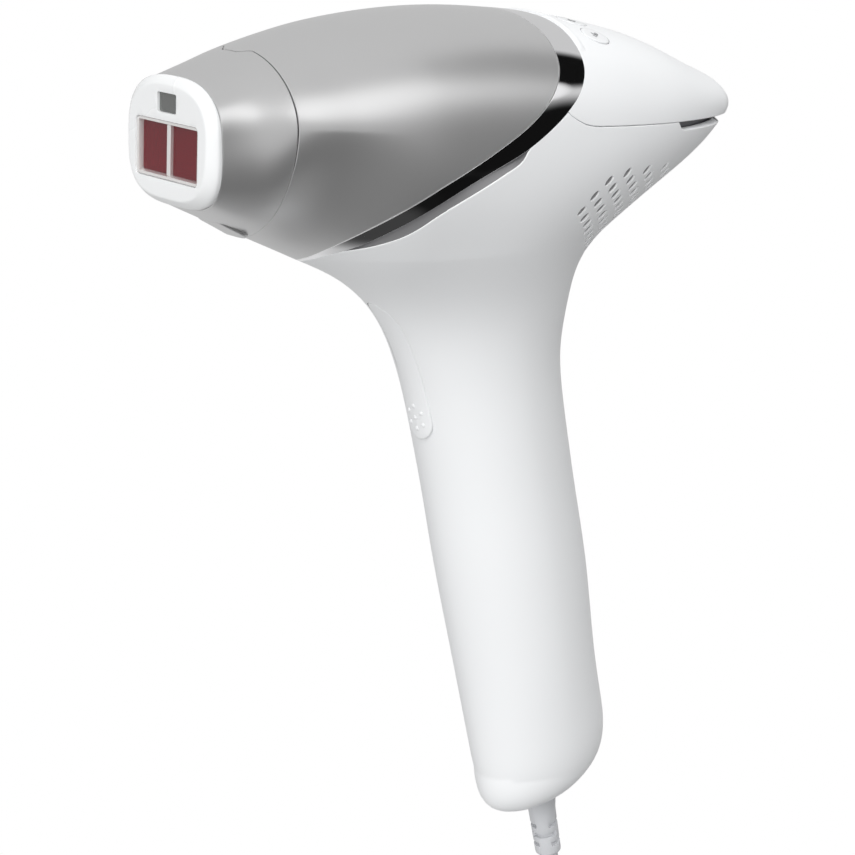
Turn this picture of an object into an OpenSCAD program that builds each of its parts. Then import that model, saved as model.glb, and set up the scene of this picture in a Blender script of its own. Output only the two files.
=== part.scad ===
// IPL hair remover: pistol-shaped, held upright, treatment window towards -Y, +Z up.
// The origin is the middle of the hand grip. The object is symmetric about the plane x = 0.

/* [Shells] */
// Wall thickness of the plastic covers
wall = 2; // [1.6:0.2:2.2]
// Seam between neighbouring fixed covers
seam = 0.2; // [0.1:0.05:0.3]
// Gap round the pieces that move
move_gap = 0.35; // [0.3:0.05:0.45]

/* [Treatment window] */
// Width of the window frame
window_w = 27.4; // [26:0.2:28]
// Height of the window frame
window_h = 13.6; // [12.6:0.2:14]
// Width of the skin-tone sensor's window
sensor_w = 8.4; // [7:0.2:9]
// Height of the skin-tone sensor's window
sensor_h = 4.6; // [4:0.2:5]

/* [Controls] */
// Diameter of the round keys on the control panel
key_d = 7.6; // [7:0.1:8]
// Distance between neighbouring keys, across the panel
key_pitch = 9.2; // [8.8:0.1:9.4]
// Width of the flash button
button_w = 9.4; // [8.6:0.2:9.6]

/* [Inside] */
// Diameter of the energy capacitor
capacitor_d = 25; // [20:1:26]
// Length of the energy capacitor
capacitor_len = 56; // [40:1:58]
// Width of the square cooling fan
fan_w = 35; // [30:1:36]

/* [Cord] */
// Diameter of the cord
cord_d = 5; // [4.8:0.1:5.2]
// Straight run of the tied hank
hank_run = 75; // [60:1:80]
// Diameter of the adapter's mains pins
pin_d = 4; // [4:0.1:4.8]
// Distance between the mains pins
pin_spacing = 18.6; // [18.6:0.1:19]

/* [Hidden] */

white = [0.93, 0.94, 0.94];
silver = [0.62, 0.63, 0.64];

// ---- Lines of the head along y: top, underside, widest level, half width
TOP = [[-100, 106], [-86, 111], [-77, 114], [-62, 117.5], [-44, 119.5], [-22, 120],
       [0, 118], [20, 114.5], [38, 109.5], [54, 102.5], [66, 97], [73, 92]];
UNDER = [[-100, 81], [-86, 73.5], [-77, 69], [-62, 63], [-44, 59], [-22, 57.5],
         [0, 58], [20, 61], [38, 68], [54, 76], [66, 85.5], [73, 87.5]];
WIDEST = [[-100, 96], [-86, 96.5], [-77, 97], [-62, 96], [-44, 94], [-22, 92],
          [0, 90.5], [20, 90], [38, 90], [54, 90.5], [66, 90.5], [73, 90]];
HALF_W = [[-100, 18.5], [-86, 21], [-77, 25], [-62, 29], [-44, 32.5], [-22, 34],
          [0, 34], [20, 32.5], [38, 29], [54, 23], [66, 17], [73, 14]];
// How square the head's sections are, above and below the widest level (2 is an ellipse)
POWER_UP = [[-100, 2.6], [-94, 2.6], [-77, 2], [-40, 2.1], [10, 2.2], [66, 2]];
POWER_LOW = [[-100, 3.3], [-94, 3.3], [-77, 1.7], [-40, 2], [10, 2.1], [66, 2]];
// Lines of the handle along z: centre, half depth along y, half width along x
GRIP_Y = [[-88, 17.5], [-58, 11], [-28, 5.5], [0, 0], [28, -5.5], [46, -8.5], [62, -14.5]];
GRIP_D = [[-88, 21], [-58, 20.5], [-28, 21.5], [0, 21.5], [28, 22.5], [46, 24.5], [62, 25]];
GRIP_W = [[-88, 16], [-58, 18], [-28, 19], [0, 19], [28, 19.5], [46, 20.5], [62, 22]];
grip_power = 1.9;
blend = 29;            // size of the blend between head and handle
tail_y = 73;           // tip of the tail
tail_plan = 13;        // rounding of the tail seen from above
tail_side = 4.5;       // rounding of the tail seen from the side
heel_z = -97;          // slanted end of the handle: its level, its slope and its rounding
heel_slope = 22;
heel_round = 16;
front_y = -112;        // the sampled form ends here, ahead of the real front
lean = 10.8;           // the handle leans back by this angle

// ---- Edges of the covers in the side view
SILVER_EDGE = [[56, -62], [62, -62], [66, -59.5], [70.5, -55.5], [75, -50.5], [80, -43.5],
               [85.5, -34], [89, -26], [92.5, -18.5], [96.5, -12.5], [101, -7.5],
               [105.5, -4.5], [110.5, -2.5], [116, -2.2], [124, -2.2]];
RING_EDGE = [[56, -61.5], [62, -60.5], [64, -57.5], [66, -54.5], [70, -50.5], [75, -44.8],
             [79, -38.8], [84, -28], [88, -18.5], [91.5, -12], [94.5, -7], [97, -3.3],
             [100, 0], [104, 3.3], [108, 5.2], [112, 6.2], [116, 7.5], [124, 8]];
PANEL_EDGE = [[-8, 98.8], [-4.5, 96], [-2, 94.2], [1, 92.7], [4.5, 91.9], [9, 91.5],
              [23, 90.5], [45, 89.2], [60, 88.5], [76, 88]];
sleeve_y = -77;        // seam between attachment and front cover
rim_y = -94;           // seam between attachment sleeve and white rim
face_y = -97;          // flat face of the rim
face_tilt = 2.6;       // the face leans back
window_z = 91.3;
sensor_z = 102.3;
tail_slot_y = 36;      // start of the slot under the panel's tail
tail_slot_h = 2.2;

// ---- Keys: a row across the panel
key_y = 16.5;
key_tilt = 12;         // the panel falls towards the tail
KEY_TOP = [[0, 115.25], [9.2, 114.55], [18.4, 111.75]];   // level of the panel across its width
KEY_LEAN = [[0, 0], [9.2, 9.6], [18.4, 24]];              // the panel's slope across its width
board_r = 38;          // the key board follows the panel's crown

// ---- Flash button
button_low = 15.3;     // centres of its round ends
button_high = 43;
pin_y = -28.6;         // hinge pin of the flash button
pin_z = 43.5;

// ---- Strain relief and cord, in the frame that leans with the handle
plug_y = -1.9;
plug_top = -86;
plug_mouth = -98.4;
relief_end = -118.5;
plug_travel = 12;

// ---- Cord, hank and adapter
relief_tip = [0, plug_y * cos(lean) - relief_end * sin(lean), plug_y * sin(lean) + relief_end * cos(lean)];
bend_r = 3 * cord_d;
hank_layers = 4;
hank_pitch = 5.1;
hank_top = -152;
hank_y = 22.5;
hank_w = 2 * (bend_r + hank_pitch) + cord_d;
hank_t = (hank_layers - 1) * hank_pitch + cord_d;
hank_len = hank_run + hank_w;
hank_low = hank_top - hank_len;
adapter_top = hank_low - 26;
adapter = [42, 30, 64];
LEAD_ROUTE = [relief_tip, relief_tip + [0, 0.9, -4.9], [0, 21.9, -127], [0, 22.3, -132],
              [0, 22.5, -138], [0, 22.5, -145], [0, hank_y, hank_top]];
TAIL_ROUTE = [[0, hank_y, hank_low], [0, hank_y, hank_low - 4], [0, hank_y, hank_low - 8],
              [0, hank_y, hank_low - 12]];

// ---- Smooth curves through points
function gap(p, i) = p[i + 1][0] - p[i][0];
function rise(p, i) = (p[i + 1][1] - p[i][1]) / gap(p, i);
function slope(p, i) = i == 0 ? rise(p, 0)
                     : i == len(p) - 1 ? rise(p, i - 1)
                     : (rise(p, i - 1) * gap(p, i) + rise(p, i) * gap(p, i - 1))
                       / (gap(p, i) + gap(p, i - 1));
function span(p, x, i = 0) = i >= len(p) - 2 || x < p[i + 1][0] ? i : span(p, x, i + 1);
function curve(p, x) = let (i = span(p, x), h = gap(p, i), t = (x - p[i][0]) / h)
    (2 * t ^ 3 - 3 * t ^ 2 + 1) * p[i][1] + (t ^ 3 - 2 * t ^ 2 + t) * h * slope(p, i)
    + (3 * t ^ 2 - 2 * t ^ 3) * p[i + 1][1] + (t ^ 3 - t ^ 2) * h * slope(p, i + 1);
function fine(p, step = 1) = [for (x = [p[0][0] : step : p[len(p) - 1][0]]) [x, curve(p, x)]];
top_line = fine(TOP);
under_line = fine(UNDER);
widest_line = fine(WIDEST);
half_w_line = fine(HALF_W);
power_up_line = fine(POWER_UP);
power_low_line = fine(POWER_LOW);
grip_y_line = fine(GRIP_Y);
grip_d_line = fine(GRIP_D);
grip_w_line = fine(GRIP_W);

// ---- The outer form: a value below 0 lies inside, and -n lies about n mm under the surface
function clamped(v, lo, hi) = min(max(v, lo), hi);
function rounding(y, r) = let (t = clamped((y - tail_y + r) / r, 0, 1)) sqrt(max(1 - t * t, 0.0001));
function oval(u, v, n) = (abs(u) ^ n + abs(v) ^ n + 1e-12) ^ (1 / n);
function head_form(x, y, z) =
    let (yc = clamped(y, front_y + 1, tail_y - 0.03),
         side = rounding(yc, tail_side),
         zw = lookup(yc, widest_line),
         hu = (lookup(yc, top_line) - zw) * side,
         hl = (zw - lookup(yc, under_line)) * side,
         b = lookup(yc, half_w_line) * rounding(yc, tail_plan),
         above = z > zw,
         n = lookup(yc, above ? power_up_line : power_low_line),
         r = oval(x / b, (z - zw) / max(above ? hu : hl, 0.05), n))
    max((r - 1) * min(b, (hu + hl) / 2), front_y - y, y - tail_y);
function soft_max(a, b, k) = let (h = max(k - abs(a - b), 0) / k) max(a, b) + h * h * k / 4;
function soft_min(a, b, k) = -soft_max(-a, -b, k);
function grip_form(x, y, z) =
    let (zc = clamped(z, -88, 62),
         d = lookup(zc, grip_d_line),
         w = lookup(zc, grip_w_line),
         r = oval(x / w, (y - lookup(zc, grip_y_line)) / d, grip_power),
         heel = (heel_z - z + tan(heel_slope) * (y - 17.5)) * cos(heel_slope))
    soft_max(max((r - 1) * min(w, d), z - 62), heel, heel_round);
function form_at(x, y, z) = soft_min(head_form(x, y, z), grip_form(x, y, z), blend);

// ---- The form as level slices, each star-shaped about a centre
LEVELS = [-98.4, -97.2, -95.5, -93, -90, -86, -80, -70, -50, -25, 0, 15, 26, 34, 41, 46, 50, 54,
          58, 62, 66, 70, 74, 78, 81.5, 84.5, 87.5, 90, 92.5, 95, 98, 101, 104, 107, 110, 112.5,
          114.5, 116.2, 117.6, 118.7, 119.4, 119.8];
CENTRE = [[-99, 5], [-95, 9], [-88, 14], [-70, 13], [0, 0], [40, -7], [55, -10], [75, -14],
          [92, -14], [100, -20], [110, -25], [120, -23]];
REACH_FRONT = [[-99, 5], [-95, 12], [-88, 18], [-60, 21], [30, 24], [45, 30], [55, 40], [62, 50],
               [70, 68], [78, 83], [84, 87], [95, 85], [104, 81], [107, 70], [115, 45], [120, 14]];
REACH_BACK = [[-99, 8], [-95, 13], [-88, 18], [30, 23], [45, 27], [55, 35], [62, 42], [70, 56],
              [80, 72], [88, 87], [92, 87], [98, 82], [106, 70], [112, 55], [116, 40], [120, 12]];
REACH_SIDE = [[-99, 7], [-95, 13], [-88, 16], [0, 19], [30, 20], [45, 24], [55, 28], [62, 31],
              [70, 33], [80, 34], [100, 34], [106, 30], [112, 24], [116, 17], [120, 5]];
function level(z, off) = z - off * max(z - 60, 0) / 60 + off * max(-z, 0) / 99;
function reach(c, z, dx, dy, off, lo = 0.02, hi = 1.9, k = 13) =
    let (m = (lo + hi) / 2)
    k == 0 ? m
    : form_at(m * dx, c + m * dy, z) < -off ? reach(c, z, dx, dy, off, m, hi, k - 1)
    : reach(c, z, dx, dy, off, lo, m, k - 1);
// Directions of a slice's points, closest together where the window end has its corners
FINE = [0, 8, 15, 21, 25.3, 29, 33, 39, 47, 57, 68, 80, 92, 104, 116, 128, 140, 151, 161, 170, 180];
COARSE = [0, 12, 20, 25.3, 30, 37, 50, 68, 90, 112, 134, 156, 180];
function half_slice(z, off, angles) =
    let (c = lookup(z, CENTRE), f = lookup(z, REACH_FRONT), b = lookup(z, REACH_BACK),
         s = lookup(z, REACH_SIDE))
    [for (a = angles) let (dx = s * sin(a), dy = -(a < 90 ? f : b) * cos(a), t = reach(c, z, dx, dy, off))
     [t * dx, c + t * dy, z]];
function slice(z, off, angles) = let (h = half_slice(z, off, angles))
    concat(h, [for (i = [len(h) - 2 : -1 : 1]) [-h[i][0], h[i][1], h[i][2]]]);
module form(off, angles = FINE) {
    rows = [for (z = LEVELS) slice(level(z, off), off, angles)];
    m = len(rows[0]);
    last = len(rows) - 1;
    low = [0, lookup(LEVELS[0], CENTRE), level(-98.8, off)];
    high = [0, lookup(119, CENTRE), level(119.95, off)];
    points = concat([for (r = rows) each r], [low, high]);
    sides = [for (k = [0 : last - 1]) for (i = [0 : m - 1]) let (j = (i + 1) % m)
             each [[k * m + i, k * m + j, (k + 1) * m + j],
                  [k * m + i, (k + 1) * m + j, (k + 1) * m + i]]];
    caps = [for (i = [0 : m - 1]) let (j = (i + 1) % m)
            each [[j, i, len(points) - 2], [last * m + i, last * m + j, len(points) - 1]]];
    polyhedron(points, [for (f = concat(sides, caps)) [f[2], f[1], f[0]]], convexity = 6);
}

// ---- Regions of the side view, as blocks across the whole width
module side_block(p, w = 90) rotate([90, 0, 90]) linear_extrude(w, center = true) polygon(p);
function edge(p, lo, hi, shift, step = 2) = [for (z = [lo : step : hi]) [curve(p, z) + shift, z]];
function panel_z(y) = curve(PANEL_EDGE, y);
panel_start = -6;      // where the panel's edge meets the ring
module before_ring(shift) side_block(concat([[-130, 52]], edge(SILVER_EDGE, 56, 124, shift), [[-130, 124]]));
module behind_ring(shift)
    side_block(concat([[-61.5, -120]], edge(RING_EDGE, 56, 124, shift), [[90, 124], [90, -120]]));
module under_panel(shift)
    side_block(concat([for (y = [-8 : 2 : 76]) [y, panel_z(y) + shift]],
                      [[90, 88 + shift], [90, -120], [-61.5, -120], [-61.5, 98.8 + shift]]));
module over_panel(shift)
    side_block(concat([for (y = [-8 : 2 : 76]) [y, panel_z(y) + shift]], [[90, 130], [-8, 130]]));
module meshed() resize([0, 0, 0]) children();
module skin(t) difference() { form(0); form(t, COARSE); }
module face_frame() translate([0, face_y, window_z]) rotate([-face_tilt, 0, 0])
    translate([0, -face_y, -window_z]) children();
module lean_frame() rotate([lean, 0, 0]) children();
module rounded(w, h, r) offset(r) square([w - 2 * r, h - 2 * r], center = true);
// A rounded prism along y, from y0 to y1, centred on x = 0 and z
module prism_y(w, h, r, y0, y1, z) translate([0, y1, z]) rotate([90, 0, 0])
    linear_extrude(y1 - y0) rounded(w, h, r);

// ---- Covers
module button_outline(grow) offset(button_w / 2 - 0.5 + grow, $fn = 32)
    polygon([[-0.5, button_low], [0.5, button_low], [0.2, button_high], [-0.2, button_high]]);
module rear_outline(grow) offset(5 + grow, $fn = 24)
    polygon([[-3.6, -76], [3.6, -76], [4, 36], [-4, 36]]);
module through_y(y0, y1) translate([0, y1, 0]) rotate([90, 0, 0]) linear_extrude(y1 - y0) children();
vent_rows = 6;
vent_first = 73.4;     // y + z in the first row's plane
vent_step = 7.4;
vent_size = [1.1, 2.4, 9];
module vents() for (k = [0 : vent_rows - 1], a = [-72 : 12 : 72]) let (s = vent_first + k * vent_step)
    translate([0, s / 2 - 39 + k, s / 2 + 39 - k]) rotate([45, 0, 0]) rotate([0, a, 0])
        translate([0, 0, -(31.5 - 1.3 * k * cos(a))]) cube(vent_size, center = true);
module body_shell() color(white) meshed() difference() {
    intersection() { skin(wall); behind_ring(seam / 2); under_panel(-seam / 2); }
    through_y(-60, -12) button_outline(move_gap);
    through_y(8, 60) rear_outline(seam);
    vents();
    lean_frame() translate([0, plug_y, -110]) cylinder(20, d = 10.6, $fn = 32);
    side_block([[tail_slot_y, panel_z(36) - tail_slot_h / 2], [tail_slot_y + 1, panel_z(37) + 1],
                [90, panel_z(76) + 1], [90, panel_z(76) - tail_slot_h],
                [tail_slot_y + 1, panel_z(37) - tail_slot_h]], 70);
}
module screw_axis() for (p = [[20, -60], [21.3, 20]]) lean_frame() translate([0, p[0], p[1]])
    rotate([90, 0, 0]) children();
module rear_cover() color(white) meshed() difference() {
    union() {
        intersection() { skin(wall); through_y(8, 60) rear_outline(0); }
        screw_axis() translate([0, 0, 1.2]) cylinder(3, d = 9, $fn = 20);
    }
    screw_axis() translate([0, 0, -4]) cylinder(6, d = 5.8, $fn = 20);
    screw_axis() translate([0, 0, -4]) cylinder(20, d = 3.1, $fn = 20);
}
module rear_screws() color([0.5, 0.5, 0.52]) screw_axis() difference() {
    union() {
        translate([0, 0, 0.5]) cylinder(1.5, d = 5.4, $fn = 32);
        cylinder(9.5, d = 2.8, $fn = 32);
    }
    translate([0, 0, -1]) cylinder(2.2, d = 2.6, $fn = 6);
}
module panel_frame() translate([0, key_y, lookup(0, KEY_TOP)]) rotate([-key_tilt, 0, 0]) children();
function key_x(i) = (2 - i) * key_pitch;
module key_axis(i) translate([key_x(i), key_y, lookup(abs(key_x(i)), KEY_TOP)]) rotate([-key_tilt, 0, 0])
    rotate([0, sign(key_x(i)) * lookup(abs(key_x(i)), KEY_LEAN), 0]) children();
module key_hole(i, grow) key_axis(i) translate([0, 0, -8]) cylinder(14, d = key_d + 2 * grow, $fn = 32);
module top_cover() color(white) meshed() difference() {
    intersection() { skin(wall); behind_ring(seam / 2); over_panel(seam / 2); }
    for (i = [0 : 4]) key_hole(i, 0.25);
}
module front_cover() color(silver) meshed() intersection() {
    skin(wall);
    before_ring(-seam / 2);
    translate([-50, sleeve_y, 40]) cube([100, 90, 90]);
}
module trim_ring() color([0.2, 0.2, 0.21]) meshed() difference() {
    intersection() { skin(2.6); before_ring(90); translate([-50, -70, 50]) cube([100, 90, 80]); }
    before_ring(seam / 2);
    behind_ring(-seam / 2);
}

// ---- Attachment, which pulls off forwards
module attachment_sleeve() color(silver) meshed() union() {
    intersection() {
        skin(1.8);
        translate([-50, rim_y + 0.1, 40]) cube([100, sleeve_y - rim_y - move_gap - 0.1, 90]);
    }
    difference() {
        intersection() { form(-1.4); translate([-6, -84, 60]) cube([12, 6.6, 18]); }
        form(1);
    }
}
// The rim's outline is rounder above the level of its widest place than below it
function rim_point(a, w, top, bottom) = let (c = cos(a), s = sin(a), n = s > 0 ? 2.5 : 3.4)
    [w * sign(c) * abs(c) ^ (2 / n), 95 + (s > 0 ? top - 95 : 95 - bottom) * sign(s) * abs(s) ^ (2 / n)];
module rim_outline(w, top, bottom) polygon([for (a = [0 : 9 : 351]) rim_point(a, w, top, bottom)]);
module rim_plate(y, t, w, top, bottom) translate([0, y + t, 0]) rotate([90, 0, 0])
    linear_extrude(t) rim_outline(w, top, bottom);
module attachment_rim() color(white) meshed() difference() {
    union() {
        hull() { face_frame() rim_plate(face_y, 0.2, 17, 106, 80.4); rim_plate(-96, 0.2, 18.6, 107.6, 78.9); }
        hull() { rim_plate(-96, 0.2, 18.6, 107.6, 78.9); rim_plate(rim_y - 0.2, 0.2, 19.3, 108.3, 78.1); }
        rim_plate(rim_y - 0.1, 2.1, 16, 105, 81);
    }
    prism_y(window_w + 0.3, window_h + 0.3, 1.4, -110, -80, window_z);
    prism_y(sensor_w + 0.2, sensor_h + 0.2, 0.5, -110, -80, sensor_z);
}
module window_frame() color([0.85, 0.83, 0.82]) difference() {
    prism_y(window_w, window_h, 1.3, -96.8, -92, window_z);
    prism_y(window_w - 1.6, window_h - 1.6, 0.8, -100, -90, window_z);
}
module filter_glass() color([0.55, 0.05, 0.1, 0.6])
    prism_y(window_w - 1.7, window_h - 1.7, 0.8, -95.8, -94.6, window_z);
module window_bar() color("silver") translate([-0.7, -94.4, window_z - (window_h - 1.7) / 2])
    cube([1.4, 1.2, window_h - 1.7]);
module sensor_window() color([0.4, 0.4, 0.42]) prism_y(sensor_w, sensor_h, 0.4, -96.2, -95, sensor_z);

// ---- Lamp house behind the attachment
lamp_y = -76;
lamp_z = window_z;
module nose_frame() color([0.2, 0.2, 0.22]) difference() {
    union() {
        prism_y(29.4, 16.8, 3, -91, -62, lamp_z);
        translate([-21.5, -64, 84.5]) cube([43, 2, 19.5]);
    }
    prism_y(26.8, 14.4, 1.1, -92, -66.5, lamp_z);
    translate([-20, lamp_y, lamp_z]) rotate([0, 90, 0]) cylinder(40, d = 7.2, $fn = 32);
}
module lamp_glass() color([0.8, 0.85, 0.9, 0.4]) prism_y(26.8, 14.4, 1.1, -90.6, -89.2, lamp_z);
function dish(u, y) = y - 0.11 * u * u;
module reflector() color([0.85, 0.85, 0.86]) translate([-12.8, 0, lamp_z]) rotate([90, 0, 90])
    linear_extrude(25.6) polygon(concat(
        [[-88.8, -7]], [for (u = [-7 : 1.75 : 7]) [dish(u, -68), u]], [[-88.8, 7], [-88.8, 6.4]],
        [for (u = [6.4 : -1.6 : -6.4]) [dish(u, -68.7), u]], [[-88.8, -6.4]]));
module flash_tube() color([0.9, 0.93, 1, 0.5]) translate([-18, lamp_y, lamp_z]) rotate([0, 90, 0])
    cylinder(36, d = 4.6, $fn = 24);
module lamp_holders() color([0.9, 0.9, 0.88]) for (s = [-1, 1]) translate([s * 16.5, lamp_y, lamp_z])
    rotate([0, 90, 0]) difference() {
        cylinder(5.4, d = 7.2, center = true, $fn = 32);
        translate([0, 0, -s * 1.2]) cylinder(5.4, d = 4.6, center = true, $fn = 24);
    }
module skin_sensor() color([0.1, 0.35, 0.2]) union() {
    translate([-6, -90.8, lamp_z + 8.4]) cube([12, 9, 1.2]);
    translate([-2.5, -91.4, lamp_z + 9]) cube([5, 3, 3]);
}
module heat_sink() color([0.75, 0.76, 0.78]) union() {
    translate([-17, -62, 80]) cube([34, 2.5, 23]);
    for (x = [-16 : 4 : 16]) translate([x - 0.6, -60, 80]) cube([1.2, 11, 23]);
}

// ---- Fan
fan_y = -42;
fan_z = 88;
fan_bore = fan_w - 3;
module fan_frame() translate([0, fan_y, fan_z]) rotate([90, 0, 0]) children();
module fan_housing() color([0.16, 0.16, 0.17]) fan_frame() union() {
    difference() {
        translate([0, 0, -5]) linear_extrude(10) difference() {
            rounded(fan_w, fan_w, 3);
            circle(d = fan_bore, $fn = 48);
        }
        for (s = [-1, 1], t = [-1, 1]) translate([s * (fan_w / 2 - 3), t * (fan_w / 2 - 3), -6])
            cylinder(12, d = 3, $fn = 20);
    }
    difference() {
        union() {
            translate([0, 0, -5]) cylinder(2, d = 15, $fn = 32);
            for (a = [30, 150, 270]) rotate(a) translate([5, -1, -5]) cube([fan_bore / 2 - 4.5, 2, 1.6]);
        }
        translate([0, 0, -6]) cylinder(4, d = 2.5, $fn = 24);
    }
}
module fan_shaft() color([0.7, 0.7, 0.72]) fan_frame() translate([0, 0, -5]) cylinder(8.6, d = 2.5, $fn = 24);
module fan_rotor() color([0.1, 0.1, 0.11]) fan_frame() difference() {
    union() {
        translate([0, 0, -2.6]) cylinder(6.9, d = 14, $fn = 32);
        for (a = [0 : 360 / 7 : 359]) rotate(a) translate([10.4, 0, 0.9]) rotate([38, 0, 0])
            cube([9, 1, 7.6], center = true);
    }
    translate([0, 0, -3.6]) cylinder(7.3, d = 2.6, $fn = 24);
}

// ---- Frames and boards
module head_chassis() color([0.24, 0.25, 0.27]) difference() {
    union() {
        translate([0, 0, 78]) linear_extrude(2)
            polygon([[-25, -36], [25, -36], [25, 18], [16, 42], [-16, 42], [-25, 18]]);
        for (s = [-1, 1]) translate([s * 20.2 - 1.2, -62, 85]) cube([2.4, 27, 9]);
        translate([-21.4, -37, 68]) cube([42.8, 2.5, 39]);
        for (s = [-1, 1], y = [-28, 32]) translate([s * 14, y, 79]) cylinder(5, d = 5, $fn = 24);
    }
    translate([0, -40, fan_z]) rotate([-90, 0, 0]) cylinder(8, d = fan_bore, $fn = 48);
    translate([-9, -10, 77]) cube([18, 22, 5]);
}
module main_board() color([0.1, 0.35, 0.2]) union() {
    translate([-22, -33, 84]) cube([44, 71, 1.6]);
    translate([-18, -4, 85.5]) cube([14, 12, 7]);
    translate([2, -6, 85.5]) cube([9, 14, 5]);
    translate([-15, 18, 85.5]) cube([8, 8, 3.5]);
    translate([4, 18, 85.5]) cube([14, 5, 6]);
    for (x = [-16, -8], y = [-20]) translate([x, y, 85.5]) cylinder(10, d = 6.3, $fn = 24);
}
module trigger_transformer() color([0.5, 0.3, 0.12]) translate([13, -23, 85.6]) union() {
    cylinder(1.5, d = 14, $fn = 32);
    cylinder(9, d = 11, $fn = 32);
    translate([0, 0, 9]) cylinder(1.5, d = 14, $fn = 32);
}
cap_low = -50;
module energy_capacitor() color([0.12, 0.14, 0.2]) lean_frame() translate([0, 0, cap_low]) union() {
    cylinder(capacitor_len, d = capacitor_d, $fn = 48);
    for (s = [-1, 1]) translate([s * 5, 0, capacitor_len]) cylinder(3, d = 2, $fn = 16);
}
module handle_frame() color([0.24, 0.25, 0.27]) difference() {
    lean_frame() union() {
        difference() {
            for (z = [cap_low + 4, cap_low + capacitor_len - 10]) translate([0, 0, z])
                cylinder(6, d = capacitor_d + 4.6, $fn = 48);
            translate([0, 0, cap_low - 1]) cylinder(capacitor_len + 10, d = capacitor_d, $fn = 48);
        }
        translate([-5, 13, -64]) cube([10, 2.6, 141]);
    }
    screw_axis() cylinder(12, d = 2.8, $fn = 32);
    translate([-30, -60, 78]) cube([60, 120, 20]);
}

// ---- Keys and their board; the keys sink straight into the panel
module key(i) key_axis(i) union() {
    rotate_extrude($fn = 40) polygon([[0, -3.8], [4.2, -3.8], [4.2, -3], [key_d / 2, -3],
        [key_d / 2, -0.3], [key_d / 2 - 0.35, 0.05], [1.6, 0.2], [0, 0.2]]);
    translate([0, 0, -7.9]) cylinder(5, d = 3, $fn = 20);
}
module sensor_key() color(white) key(0);
module plus_key() color(white) key(1);
module power_key() color(white) key(2);
module minus_key() color(white) key(3);
module mode_key() color(white) key(4);
module arc_bar(r0, r1, a, y0, y1) translate([0, y1, 0]) rotate([90, 0, 0]) linear_extrude(y1 - y0)
    polygon(concat([for (t = [-a : a / 6 : a]) r1 * [sin(t), cos(t)]],
                   [for (t = [a : -a / 6 : -a]) r0 * [sin(t), cos(t)]]));
module key_board() color([0.1, 0.35, 0.2]) meshed() union() {
    panel_frame() translate([0, 0, -12 - board_r]) arc_bar(board_r - 1.6, board_r, 40, -7.5, 7.5);
    for (i = [0 : 4]) key_axis(i) translate([0, 0, -12.4]) union() {
        translate([-2.9, -2.9, 0]) cube([5.8, 5.8, 3.2]);
        cylinder(4, d = 3, $fn = 20);
    }
    intersection() {
        form(wall + 0.1, COARSE);
        panel_frame() for (s = [-1, 1]) translate([s * 22.8 - 1, -7.5, -20.2]) cube([2, 15, 22]);
    }
}

// ---- Flash button, rocking on a pin at its upper end
button_depth = 2.2;
module flash_button() color(white) difference() {
    union() {
        meshed() intersection() {
            difference() { form(-0.5); form(button_depth, COARSE); }
            through_y(-60, -12) button_outline(0);
        }
        for (p = [[0, 18.6], [-2.4, 17], [2.4, 17], [0, 15.4], [-2.4, 13.9], [2.4, 13.9], [0, 12.6]])
            translate([p[0], -25, p[1]]) rotate([90, 0, 0]) cylinder(1.2, d = 1, $fn = 16);
        translate([-3.4, pin_y, pin_z]) rotate([0, 90, 0]) cylinder(6.8, d = 5.2, $fn = 32);
        translate([-3, -33.4, 42]) cube([6, 4, 2.6]);
        translate([-1.5, -23, 14.5]) cube([3, 1.2, 2]);
    }
    translate([-5, pin_y, pin_z]) rotate([0, 90, 0]) cylinder(10, d = 2.1, $fn = 32);
}
module button_pin() color([0.7, 0.7, 0.72]) translate([-5.6, pin_y, pin_z]) rotate([0, 90, 0])
    cylinder(11.2, d = 2, $fn = 32);
plate_y = -18;         // face of the bracket's plate
module button_bracket() color([0.24, 0.25, 0.27]) difference() {
    union() {
        translate([-8, plate_y, 12]) cube([16, 1.6, 34]);
        for (s = [-1, 1]) translate([s * 4.5 - 0.8, pin_y, 41.4]) cube([1.6, plate_y - pin_y + 1, 4.2]);
        for (s = [-1, 1]) translate([s * 4.5, pin_y, pin_z]) rotate([0, 90, 0])
            cylinder(1.6, d = 4.8, center = true, $fn = 32);
    }
    translate([-10, pin_y, pin_z]) rotate([0, 90, 0]) cylinder(20, d = 2, $fn = 32);
}
module button_switch() color([0.1, 0.1, 0.11]) union() {
    translate([-4, plate_y - 2, 14.2]) cube([8, 2, 5]);
    translate([-1, plate_y - 2.2, 14.5]) cube([2, 0.4, 2]);
}
module button_spring() color([0.7, 0.7, 0.72]) tube([for (t = [0 : 1 / 12 : 4])
    [1.5 * cos(360 * t), -23.3 + 4.8 * t / 4, 24 + 1.5 * sin(360 * t)]], 0.4, 6);

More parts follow.
